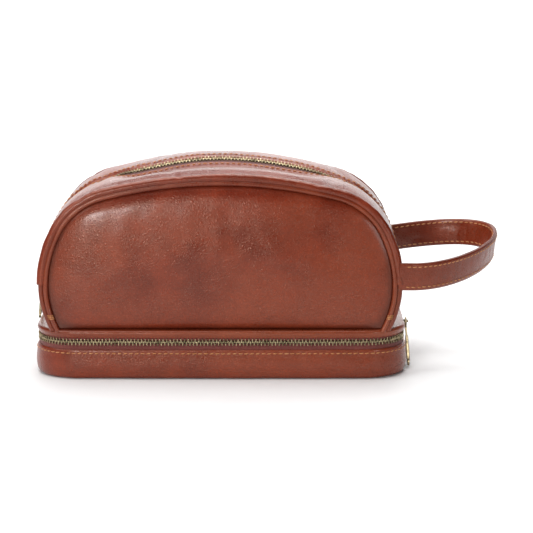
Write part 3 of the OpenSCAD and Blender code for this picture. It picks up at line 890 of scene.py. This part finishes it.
# rim of the upper compartment
def makeRim():
    front = [
        (-17.0, 35.25), (-9.0, 35.3), (-4.0, 35.35), (-1.8, 35.35), (-0.5, 34.9), (0.15, 33.8), (0.05, 32.4),
        (-0.5, 31.2), (-1.0, 30.2), (-1.35, 29.9), (-1.6, 30.6), (-1.5, 32.0), (-2.0, 33.9), (-9.0, 34.0),
        (-17.0, 34.0),
    ]
    profile = profileOf(front)
    # painted shadow: the seam mark darkens the ledge's top further in, under the upper bag
    marks = [0.5 * smooth((-a / mm - 8) / 6) if z > 35 * mm else 0.0 for a, z in profile]
    roll = sweep("rimRoll", openLine(), profile, edgeLeather, wobble=0.22 * mm, seed=21.0, marks=marks)
    settle(roll, "upper_bag", "leather", "rim_ledge", "rim_band")
    back = [
        (-17.0, 35.25), (-4.0, 35.35), (-1.2, 35.3), (-0.2, 34.9), (-0.1, 34.4), (-0.6, 34.05), (-4.0, 34.0),
        (-17.0, 34.0),
    ]
    profile = profileOf(back)
    ledge = sweep("backLedge", backLine(), profile, edgeLeather, wobble=0.1 * mm, seed=22.0)
    settle(ledge, "upper_bag", "leather")

    rows = []
    board = [(0.0, 35.2), (0.3, 34.6), (0.0, 33.75), (-1.2, 33.6)]
    for a, z in board:
        rows.append([Vector((p.x, p.y, z * mm)) + n * (a - 15.5) * mm for p, n in planLine(0, 300)])
    for inset in (19.0, 24.0, 29.5):
        rows.append([Vector((p.x, p.y, 33.6 * mm)) - n * inset * mm for p, n in planLine(0, 300)])
    lid = gridPiece("lidCloth", rows, None, liningCloth, loop=True)
    fillHoles(lid)
    settle(lid, "upper_bag", "lining", "divider_floor")


makeRim()
print("tray and rim made")


# front and back panels
panel = {
    "bulge": 7.2 * mm,
    "wave": 1.3 * mm,
    "across": 150,
    "up": 84,
    "tuck": 6.1 * mm,  # how far inside the ridge the panel's edge is, under the piping
}


def panelPoint(u, v, depth=0.0):
    # transfinite fill between the foot, the two sides and the crown of the outline
    outline = ridge.shifted(panel["tuck"] + depth)
    corner = 0.235
    left, right = outline.point(v * corner), outline.point(1 - v * corner)
    over = outline.point(lerp(corner, 1 - corner, u))
    under = lerp(outline.point(0), outline.point(1), u)
    a, b = outline.point(0), outline.point(1)
    c, d = outline.point(corner), outline.point(1 - corner)
    flat = lerp(under, over, v) + lerp(left, right, u) - lerp(lerp(a, b, u), lerp(c, d, u), v)
    edge = min(u, 1 - u) * 4.2
    rise = min(v, 1 - v) * 3.4
    quick = (1 - (1 - min(edge * 1.6, 1)) ** 2.6) * (1 - (1 - min(rise * 1.8, 1)) ** 2.4)
    across, upward = 1 - abs(2 * u - 1), 1 - abs(2 * v - 1)
    dome = (1 - (1 - across) ** 2) * (1 - (1 - upward) ** 2)
    return flat, 0.36 * quick + 0.64 * dome


def panelRows(side, depth=0.0):
    rows, marks = [], []
    seed = 31.0 if side < 0 else 47.0
    for j in range(panel["up"] + 1):
        v = j / panel["up"]
        row, tone = [], []
        for i in range(panel["across"] + 1):
            u = i / panel["across"]
            flat, puff = panelPoint(u, v, 0)
            wave = ripple(flat, 0.07, seed, 2) * panel["wave"] * puff
            dent = 1.1 * mm * hump(flat.x, -0.03, 0.05) * hump(flat.z, 0.062, 0.02)
            dent += 0.8 * mm * hump(flat.x, 0.085, 0.03) * hump(flat.z, 0.1, 0.03)
            wave += ripple(flat, 0.03, seed + 6, 2) * 0.42 * mm * puff
            out = (panel["bulge"] - dent) * puff + wave + ripple(flat, 0.014, seed + 3, 2) * 0.12 * mm * puff
            y = seamY(flat.z) + out - depth
            row.append(Vector((flat.x, side * y, flat.z)))
            # painted shadow: the seam mark darkens the panel's edge under the piping
            tone.append(0.9 * (1 - smooth(min(puff * 4.2, 1))))
        rows.append(row)
        marks.append(tone)
    return rows, marks


for side, name, node, liner in (
    (-1, "frontPanel", "front_panel", "front_lining"),
    (1, "backPanel", "back_panel", "back_lining"),
):
    rows, marks = panelRows(side)
    piece = gridPiece(name, rows, marks, leather)
    flipUnless(piece, len(piece.data.polygons) // 2, (0, side, 0))
    thicken(piece, shell["leather"])
    settle(piece, "upper_bag", "leather", node)
    rows, marks = panelRows(side, shell["leather"] + 0.3 * mm)
    inside = gridPiece(name + "Lining", rows, None, liningCloth)
    flipUnless(inside, len(inside.data.polygons) // 2, (0, side, 0))
    thicken(inside, 0.6 * mm)
    settle(inside, "upper_bag", "lining", liner)
print("panels made")


# piping
def makePiping(side, name, node):
    path = []
    for i in range(301):
        t = i / 300
        p = seam.point(t, footZ - 1.6 * mm)
        path.append(Vector((p.x, side * (seamY(p.z) + 1.0 * mm), p.z)))
    piece = tubePiece(name, path, shell["pipingRadius"], edgeLeather, 16, 5.0 + side, 0.06)
    settle(piece, "upper_bag", "edge_leather", node)


makePiping(-1, "frontPiping", "front_piping")
makePiping(1, "backPiping", "back_piping")


# gussets
gusset = {
    "along": 300,
    "hem": 2.2 * mm,  # how far the gusset laps over the side panels
    "wave": 0.55 * mm,
    "stitchHeight": 1.25 * mm,  # thread above the leather's inner line
}
# share of the way from the ridge to the zip, share of the depth, and millimetres outward
gussetCross = [
    (0.1, 0.06, -0.5), (0.28, 0.22, 0.5), (0.52, 0.47, 0.9), (0.78, 0.74, 0.4), (0.93, 0.92, -0.3),
    (0.985, 0.975, -1.1),
]
# the rolled edge beside the piping: millimetres in from the ridge and ahead of the seam
gussetRoll = [(4.3, -1.6), (3.7, 0.1), (2.7, 1.25), (1.2, 1.45), (-0.1, 0.5), (-0.4, -1.2), (0.3, -2.7)]


def gussetSection(t, side, low):
    base, top = ridge.point(t, low), topZip.point(t, low)
    out, topOut = ridge.outward(t, low), topZip.outward(t, low)
    y = seamY(base.z)
    edge = shell["zipGap"] / 2 + side * zipDrift(top.x)
    made = []
    for inset, ahead in gussetRoll:
        made.append(base - out * inset * mm + Vector((0, side * (y + ahead * mm), 0)))
    start = y - 3.9 * mm
    slipped = zipTwist(top.x) / slip["twist"]
    settled = slipped * (-0.4 if side < 0 else 1.3)
    for share, deep, lift in gussetCross:
        lift += 1.9 * sin(pi * share) * smooth(side) * max(topOut.z, 0) ** 4
        lift *= 0.25 + 0.75 * max(topOut.z, 0)
        if side < 0:
            lift -= slipped * 3.9 * hump(share, 0.76, 0.26)
        d = lerp(out, topOut, share)
        p = lerp(base, top, share) + d * (lift + settled * share * share) * mm
        made.append(p + Vector((0, side * lerp(start, edge, deep), 0)))
    made.append(top + topOut * (settled - 1.9) * mm + Vector((0, side * (edge - 0.1 * mm), 0)))
    made.append(top + topOut * (settled - 2.5) * mm + Vector((0, side * (edge + 0.6 * mm), 0)))
    return roundProfile([tuple(p) for p in made], 3)


def gussetWave(p, share, side):
    # how far wrinkles and folds lift the leather, at a share of the way from seam to zip
    free = smooth(share * 3.0) * smooth((1 - share) * 5.0)
    pucker = sin(p.x * 900 + 2 * ripple(p, 0.03, 9)) * 0.12 * mm * hump(share, 0.3, 0.12)
    fold = -0.7 * mm * hump(p.x + p.y * side * 0.25, -0.085, 0.004) * free
    fold -= 0.6 * mm * hump(p.x - p.y * side * 0.4, -0.052, 0.003) * free
    fold -= 0.5 * mm * hump(p.x + p.y * side * 0.5, 0.098, 0.004) * free
    return ripple(p, 0.045, 60.0 + side * 7) * gusset["wave"] * free + fold + pucker


def gussetShape(side, low):
    rows, marks = [], []
    for i in range(gusset["along"] + 1):
        t = i / gusset["along"]
        section = gussetSection(t, side, low)
        out = ridge.outward(t, low)
        row, tone = [], []
        for k, point in enumerate(section):
            p = Vector(point)
            share = k / (len(section) - 1)
            p = p + out * gussetWave(p, share, side)
            row.append(p)
            # painted shade: the seam mark darkens the gusset beside the piping, in a line where the rolled
            # edge meets it, and at the zip
            tone.append(hump(share, 0, 0.1) + 0.7 * hump(share, 0.44, 0.035) + 0.4 * hump(share, 1, 0.05))
        rows.append(row)
        marks.append(tone)
    return rows, marks


gussetLow = sidePanelTop - gusset["hem"]
for side, name, node in ((-1, "frontGusset", "front_gusset"), (1, "backGusset", "back_gusset")):
    rows, marks = gussetShape(side, gussetLow)
    piece = faceOutward(gridPiece(name, rows, marks, leather))
    flipUnless(piece, len(piece.data.polygons) // 2, (0, 0, 1))
    thicken(piece, shell["leather"] * 0.75)
    settle(piece, "upper_bag", "leather", node)
    line = []
    for i in range(401):
        t = lerp(0.01, 0.99, i / 400)
        section = [Vector(p) for p in gussetSection(t, side, gussetLow)]
        n = topZip.outward(t, gussetLow)
        slope = (section[-9] - section[-11]).normalized()
        n = (n - slope * n.dot(slope)).normalized()
        p = section[-10]
        share = (len(section) - 10) / (len(section) - 1)
        wave = gussetWave(p, share, side)
        line.append((p + ridge.outward(t, gussetLow) * wave + n * gusset["stitchHeight"], n))
    settle(stitchRow(name + "Stitching", line), "upper_bag", "thread")
print("gussets made")


# side panels below the top zip
def makeSidePanel(side, name, node):
    rows, marks = [], []
    high = sidePanelTop + 3.5 * mm
    for j in range(31):
        z = lerp(footZ - 0.3 * mm, high, j / 30)
        row, tone = [], []
        y = seamY(z)
        for i in range(91):
            s = i / 90
            x = ridge.sideX(max(z, footZ))
            middle = 1 - (2 * s - 1) ** 2
            rim = min(s, 1 - s) * 2 * y
            tuck = 4.0 * mm * (1 - smooth(rim / (2.8 * mm))) ** 1.5
            under = 1.5 * mm * smooth((z - sidePanelTop + 5 * mm) / (4 * mm))
            dip = 1.2 * mm * hump(rim, 5.5 * mm, 1.6 * mm)
            sag = 2.2 * mm * middle * smooth((z - footZ) / (40 * mm))
            sag += under * smooth(rim / (3 * mm)) + dip * 0.4
            p = Vector((side * (x + 0.4 * mm - tuck - sag), lerp(-y - 0.6 * mm, y + 0.6 * mm, s), z))
            p.x += side * ripple(p, 0.03, 70.0 + side) * 0.6 * mm * smooth(rim / (8 * mm))
            row.append(p)
            # painted shade: the seam mark darkens the side panel beside its rolled edges and along its foot
            tone.append(0.8 * (1 - smooth(rim / (2.5 * mm))) + 0.5 * (1 - smooth((z - footZ) / (3 * mm))))
        rows.append(row)
        marks.append(tone)
    piece = gridPiece(name, rows, marks, leather)
    flipUnless(piece, 1200, (side, 0, 0))
    thicken(piece, shell["leather"] * 0.75)
    settleShape(piece)
    rolls = [piece]
    for front in (-1, 1):
        path = []
        for i in range(46):
            z = lerp(footZ - 1.2 * mm, sidePanelTop + 1.5 * mm, i / 45)
            x = ridge.sideX(max(z, footZ)) - 1.75 * mm
            path.append(Vector((side * x, front * (seamY(z) - 0.6 * mm), z)))
        rolls.append(tubePiece(name + "Roll", path, 2.1 * mm, leather, 14, 75.0 + front, 0.05, 0.25))
    piece = joinPieces(name, rolls)
    settle(piece, "upper_bag", "leather", node)


makeSidePanel(-1, "leftSidePanel", "left_side_panel")
makeSidePanel(1, "rightSidePanel", "right_side_panel")


# top zip
tapeUnder = shell["leather"] + 0.6 * mm


def topZipLine():
    line = []
    low = sidePanelTop + 1 * mm
    for i in range(701):
        p, n = topZip.point(i / 700, low), topZip.outward(i / 700, low)
        line.append((p - n * (tapeUnder - chainRise(p.x)) + Vector((0, zipDrift(p.x), 0)), n))
    return line


def makeTopZip():
    for side, name, node in (
        (-1, "frontTape", "upper_zip_front_tape"),
        (1, "backTape", "upper_zip_back_tape"),
    ):
        rows = []
        for p, n, ahead in evenly(topZipLine(), 3 * mm):
            inner, outer = side * 1.5 * mm, side * 9 * mm
            turned = sin(zipTwist(p.x))
            # the outer edge stays under the leather
            rise = outer * turned if side < 0 else 1.8 * mm * turned - chainRise(p.x) - 0.4 * mm
            rows.append(
                [
                    p + Vector((0, a, 0)) + n * (b + c)
                    for a, b, c in (
                        (outer, 0.3 * mm, rise),
                        (inner, 0.3 * mm, inner * turned),
                        (inner, -0.3 * mm, inner * turned),
                        (outer, -0.3 * mm, rise),
                    )
                ]
            )
        piece = faceOutward(gridPiece(name, rows, None, tapeCloth, loop=True))
        settle(piece, "upper_bag", "zip_tape", node)
    # the zip is closed down to its slider at the left shoulder
    sliderZ = (topSliderLow.z + topSliderHigh.z) / 2
    rows = {1: [], -1: []}
    for i, (p, n, ahead) in enumerate(evenly(topZipLine(), chain["pitch"] / 2)[2:-3]):
        side = 1 if i % 2 else -1
        if p.x < 0 and p.z < sliderZ + 1 * mm:
            continue
        turn = zipTwist(p.x)
        out = n * cos(turn) - Vector((0, sin(turn), 0))
        across = -side * (Vector((0, cos(turn), 0)) + n * sin(turn))
        rows[side].append((p, ahead, across, out))
    settle(toothRow("frontTeeth", rows[-1]), "upper_bag", "brass", "upper_zip_front_teeth")
    settle(toothRow("backTeeth", rows[1]), "upper_bag", "brass", "upper_zip_back_teeth")


makeTopZip()
for name in ("upper_zip_stops", "lower_zip_stops"):
    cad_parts[name].data.materials.clear()
    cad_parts[name].data.materials.append(brass)
print("top zip made")


# bar tacks
def makeBarTacks():
    points = []
    for side in (-1, 1):
        for front in (-1, 1):
            for k in range(3):
                z = footZ + (7.9 + 1.1 * k) * mm
                x = seam.sideX(z)
                y = front * (seamY(z) + 1.0 * mm)
                arc = []
                for i in range(13):
                    turn = pi * (0.08 + 0.84 * i / 12)
                    r = shell["pipingRadius"] + 0.25 * mm
                    across = side * (x + 0.3 * mm + r * cos(turn))
                    arc.append(Vector((across, y + front * r * sin(turn) * 0.98, z)))
                points.append(tubePiece("barTack", arc, 0.34 * mm, threadStuff, 6))
    tacks = joinPieces("pipingBarTacks", points)
    settle(tacks, "upper_bag", "thread", "piping_bar_tacks")


makeBarTacks()


# handle
strap = {
    "width": 20 * mm,
    "leather": 1.35 * mm,
    "rootGap": 6.5 * mm,
    "reach": (54 * mm, 119 * mm),
    "heights": (37.6 * mm, 46.2 * mm),
    "sewnIn": 9.5 * mm,
    "steps": 150,
}


def strapLine():
    rootX = halfLength - shell["ridgeInset"] + strap["rootGap"]
    lowZ, highZ = footZ + strap["heights"][0], footZ + strap["heights"][1]
    a = Vector((rootX, -seamY(lowZ) + 1 * mm, lowZ))
    d = Vector((rootX, seamY(highZ) - 1 * mm, highZ))
    b = a + Vector((strap["reach"][0], 11 * mm, -3 * mm))
    c = d + Vector((strap["reach"][1], 9 * mm, 15 * mm))
    line = []
    for i in range(strap["steps"] + 1):
        t = i / strap["steps"]
        line.append(a * (1 - t) ** 3 + 3 * b * t * (1 - t) ** 2 + 3 * c * t * t * (1 - t) + d * t**3)
    start = (line[0] - line[1]).normalized()
    end = (line[-1] - line[-2]).normalized()
    before = [line[0] + start * strap["sewnIn"] * k / 8 for k in range(8, 0, -1)]
    after = [line[-1] + end * strap["sewnIn"] * k / 8 for k in range(1, 9)]
    return before + line + after


def strapFrames():
    line = strapLine()
    frames = []
    for i, p in enumerate(line):
        ahead = (line[min(i + 1, len(line) - 1)] - line[max(i - 1, 0)]).normalized()
        out = Vector((ahead.y, -ahead.x, 0)).normalized()
        t = i / (len(line) - 1)
        lean = 0.16 * sin(pi * t) + 0.05 * ripple(p, 0.05, 81.0)
        up = (Vector((0, 0, 1)) - ahead * ahead.z).normalized()
        tilted = (up * cos(lean) + out * sin(lean)).normalized()
        side = ahead.cross(tilted).normalized()
        if side.dot(out) < 0:
            side = -side
        frames.append((p, tilted, side, ahead))
    return frames


def makeStrap():
    frames = strapFrames()
    half, thick = strap["width"] / 2, strap["leather"]
    for name, node, outside in (
        ("handleOuter", "handle_outer_strap", 1),
        ("handleInner", "handle_inner_strap", -1),
    ):
        rows, marks = [], []
        for i, (p, up, out, ahead) in enumerate(frames):
            t = i / (len(frames) - 1)
            row, tone = [], []
            around = []
            for k in range(15):
                v = lerp(-1, 1, k / 14)
                crown = 0.35 * mm * (1 - v * v) - 0.3 * mm * smooth((abs(v) - 0.9) * 10)
                narrow = 1 - 0.012 * smooth((abs(v) - 0.9) * 10)
                around.append((v * half * narrow, outside * (thick + crown)))
            for k in range(15):
                v = lerp(1, -1, k / 14)
                around.append((v * half * 0.995, outside * 0.02 * mm))
            for k, (rise, away) in enumerate(around):
                q = p + up * rise + out * away
                if k < 15:
                    bend = 1.0 if outside < 0 else 0.3
                    wave = ripple(q, 0.014, 83.0 + outside, 3) * 0.3 * mm * (0.5 + bend)
                    crease = sin(t * 150 + 5 * ripple(q, 0.024, 84.0) + rise * 120)
                    wave -= max(crease, 0) ** 3 * 0.75 * mm * bend * sin(pi * t)
                    q = q + out * outside * wave * smooth((0.74 - abs(rise / half)) * 3.5)
                row.append(q)
                tone.append(0.45 * smooth((abs(rise / half) - 0.93) * 14) if k < 15 else 0.8)
            rows.append(row)
            marks.append(tone)
        piece = faceOutward(gridPiece(name, rows, marks, leather, loop=True))
        nodes = [node, "handle_seam_ends"] if outside > 0 else [node]
        settleBetween(piece, nodes)
        lines = []
        for edge in (-1, 1):
            line = []
            for p, up, out, ahead in frames[6:-6]:
                q = p + up * edge * (half - 2.6 * mm) + out * outside * (thick + 0.2 * mm)
                line.append((q, out * outside))
            lines.append(stitchRow("strapStitch", line, 0.1 * edge))
        thread = joinPieces(name + "Stitching", lines)
        settleBetween(thread, [])


makeStrap()
print("handle made")


# hinge leather at the back
def makeBackHinge():
    long = halfLength - tray["corner"]
    bend = [(3.0, 19.5), (2.6, 26.0), (2.5, 31.5), (3.2, 33.2), (6.0, 33.55), (13.5, 33.4)]
    bend = roundProfile(bend, 5)
    rows = []
    for i in range(90):
        x = lerp(-long, long, i / 89)
        row = []
        for a, z in bend:
            sway = 0.2 * mm * ripple((x, a, z), 0.03, 90)
            row.append(Vector((x, halfDepth - a * mm, z * mm)) + Vector((0, sway, 0)))
        rows.append(row)
    piece = faceOutward(gridPiece("backHinge", rows, None, edgeLeather))
    thicken(piece, 0.5 * mm)
    settleShape(piece)
    settleBetween(piece, ["back_hinge_strip"])


makeBackHinge()


# sliders and pulls
hardware = {
    "channel": 3.6 * mm,
    "plate": 1.2 * mm,
    "pinRise": 2.4 * mm,  # height of the pull's pin above the outer plate
    "crown": 2.9 * mm,
    "pullLength": 46 * mm,
    "linkLength": 17 * mm,
    "lean": 58,
    "tilt": 6,
    "topAngle": 182,
}


def plateForm(outline, low, high, bevel):
    form = bmesh.new()
    lower = [form.verts.new((x, y, low)) for x, y in outline]
    upper = [form.verts.new((x, y, high)) for x, y in outline]
    form.faces.new(list(reversed(lower)))
    form.faces.new(upper)
    for i in range(len(outline)):
        k = (i + 1) % len(outline)
        form.faces.new((lower[i], lower[k], upper[k], upper[i]))
    bmesh.ops.recalc_face_normals(form, faces=form.faces)
    flat = [e for e in form.edges if abs(e.verts[0].co.z - e.verts[1].co.z) < 1e-7]
    bmesh.ops.bevel(form, geom=flat, offset=bevel, segments=3, profile=0.6, affect="EDGES")
    mesh = bpy.data.meshes.new("plate")
    form.to_mesh(mesh)
    form.free()
    mesh.materials.append(brass)
    mesh.polygons.foreach_set("use_smooth", [True] * len(mesh.polygons))
    return addObject("plate", mesh)


def bothSides(points):
    # an outline and its mirror image across the middle
    return points + [(x, -y) for x, y in reversed(points)]


def roundBox(length, width, radius, shift=0.0):
    made = []
    for cx, cy, start in ((1, 1, 0), (-1, 1, 90), (-1, -1, 180), (1, -1, 270)):
        for k in range(7):
            turn = radians(start + 15 * k)
            x = cx * (length / 2 - radius) + radius * cos(turn) + shift
            made.append((x, cy * (width / 2 - radius) + radius * sin(turn)))
    return made


def wirePiece(path, radius, name):
    rows = []
    for i, p in enumerate(path):
        ahead = (path[min(i + 1, len(path) - 1)] - path[max(i - 1, 0)]).normalized()
        side = ahead.cross(Vector((0, 1, 0) if abs(ahead.y) < 0.9 else (1, 0, 0))).normalized()
        up = ahead.cross(side).normalized()
        turns = [2 * pi * k / 12 for k in range(12)]
        rows.append([p + side * radius * cos(g) + up * radius * sin(g) for g in turns])
    return fillHoles(gridPiece(name, rows, None, brass, loop=True))


def makeSlider(name, place, body, node):
    half, wide = 6 * mm, 4.6 * mm
    outline = [
        (-1, -0.7), (-0.3, -0.78), (0.42, -1), (0.82, -0.88), (1, -0.3), (1, 0.3), (0.82, 0.88), (0.42, 1),
        (-0.3, 0.78), (-1, 0.7), (-1.03, 0),
    ]
    outline = roundOutline([(x * half, y * wide) for x, y in outline])
    inner = hardware["channel"] / 2
    outer = inner + hardware["plate"]
    parts = [plateForm(outline, inner, outer, 0.4 * mm), plateForm(outline, -outer, -inner, 0.4 * mm)]
    for side in (-1, 1):
        lip = [
            (-5.4, 3.4), (-1.8, 3.7), (2.4, 4.5), (4.6, 4.1), (4.4, 3.7), (2.4, 4.0), (-1.8, 3.3),
            (-5.4, 3.05),
        ]
        lip = [(x * mm, side * y * mm) for x, y in lip]
        parts.append(plateForm(lip, inner - 0.7 * mm, inner + 0.3 * mm, 0.1 * mm))
        parts.append(plateForm(lip, -inner - 0.3 * mm, -inner + 0.7 * mm, 0.1 * mm))
    crown = hardware["crown"]
    top = outer + hardware["pinRise"] + 1.5 * mm
    rising = [
        (-crown - 0.5 * mm, outer - 0.3 * mm), (-crown + 0.25 * mm, outer + 1.5 * mm),
        (-crown + 0.6 * mm, top - 0.9 * mm), (-1.5 * mm, top),
    ]
    arch = rising + [(-x, z) for x, z in reversed(rising)]
    path = [Vector((x, 0, z)) for x, z in roundProfile(arch, 5)]
    parts.append(wirePiece(path, 0.62 * mm, "crown"))
    slider = joinPieces(name, parts)
    slider.data.transform(place)
    settle(slider, body, "brass", node)


def makePull(name, place, body, link, tab):
    pin = [Vector((0, y * mm, 0)) for y in (-3.4, -2, -0.7, 0.7, 2, 3.4)]
    window = bothSides([(0.0, -3.05), (-3.0, -3.1), (-6.0, -2.9), (-7.4, -1.6)])
    loop = [Vector((x * mm, y * mm, 0)) for x, y in roundProfile(window, 5)]
    stem = bothSides([(-6.8, -1.5), (-9, -1.15), (-14, -1.05), (-17.4, -1.5)])
    stem = roundOutline([(x * mm, y * mm) for x, y in stem])
    parts = [
        wirePiece(pin, 0.58 * mm, "pin"),
        wirePiece(loop, 0.62 * mm, "window"),
        plateForm(stem, -0.6 * mm, 0.6 * mm, 0.3 * mm),
    ]
    piece = joinPieces(name + "Link", parts)
    piece.data.transform(place)
    settle(piece, body, "brass", link)

    start, length = hardware["linkLength"], hardware["pullLength"]
    middle = start + (length - start - 3.4 * mm) / 2
    long = length - start - 3.4 * mm
    shape = bothSides([
        (-start + 0.3 * mm, -1.3 * mm), (-start - 2.2 * mm, -2.35 * mm), (-middle, -2.2 * mm),
        (-start - long + 2 * mm, -2.5 * mm), (-start - long, -1.9 * mm),
    ])
    parts = [plateForm(roundOutline(shape), -1.0 * mm, 1.0 * mm, 0.45 * mm)]
    panelShape = roundBox(long * 0.62, 2.4 * mm, 1.1 * mm, -middle)
    parts.append(plateForm(panelShape, 0.7 * mm, 1.22 * mm, 0.2 * mm))
    parts.append(plateForm(panelShape, -1.22 * mm, -0.7 * mm, 0.2 * mm))
    tip = roundBox(3.8 * mm, 3.2 * mm, 1.4 * mm, -length + 1.9 * mm)
    parts.append(plateForm(tip, -0.75 * mm, 0.75 * mm, 0.3 * mm))
    piece = joinPieces(name + "Tab", parts)
    piece.data.transform(place)
    settle(piece, body, "brass", tab)


pinHeight = hardware["channel"] / 2 + hardware["plate"] + hardware["pinRise"]
chainX = chainHigh.x - chain["depth"] / 2
lowerPlace = (
    Matrix.Translation((chainX, (sliderLow.y + sliderHigh.y) / 2, chain["z"]))
    @ Matrix.Rotation(pi / 2, 4, "Y")
    @ Matrix.Rotation(pi / 2, 4, "Z")
)
makeSlider("lowerSlider", lowerPlace, "lower_slider", "lower_slider_body")
lowerPull = (
    lowerPlace
    @ Matrix.Translation((0, 0, pinHeight))
    @ Matrix.Rotation(radians(90 - hardware["lean"]), 4, "Z")
)
makePull("lowerPull", lowerPull, "lower_pull", "lower_pull_link", "lower_pull_tab")

shoulderX = halfLength - shell["zipInset"] - shell["zipShoulder"]
topPlace = (
    Matrix.Translation((-shoulderX, 0, footZ + shell["zipCentre"]))
    @ Matrix.Rotation(radians(-hardware["topAngle"]), 4, "Y")
    @ Matrix.Translation((shell["zipShoulder"] - tapeUnder, 0, 0))
    @ Matrix.Rotation(pi / 2, 4, "Y")
    @ Matrix.Rotation(pi, 4, "Z")
)
makeSlider("topSlider", topPlace, "upper_slider", "upper_slider_body")
topPull = (
    topPlace
    @ Matrix.Translation((0, 0, pinHeight))
    @ Matrix.Rotation(pi, 4, "Z")
    @ Matrix.Rotation(radians(hardware["topAngle"] - 180 + hardware["tilt"]), 4, "Y")
)
makePull("topPull", topPull, "upper_pull", "upper_pull_link", "upper_pull_tab")
print("sliders made")

# update the view layer at the end
bpy.context.view_layer.update()
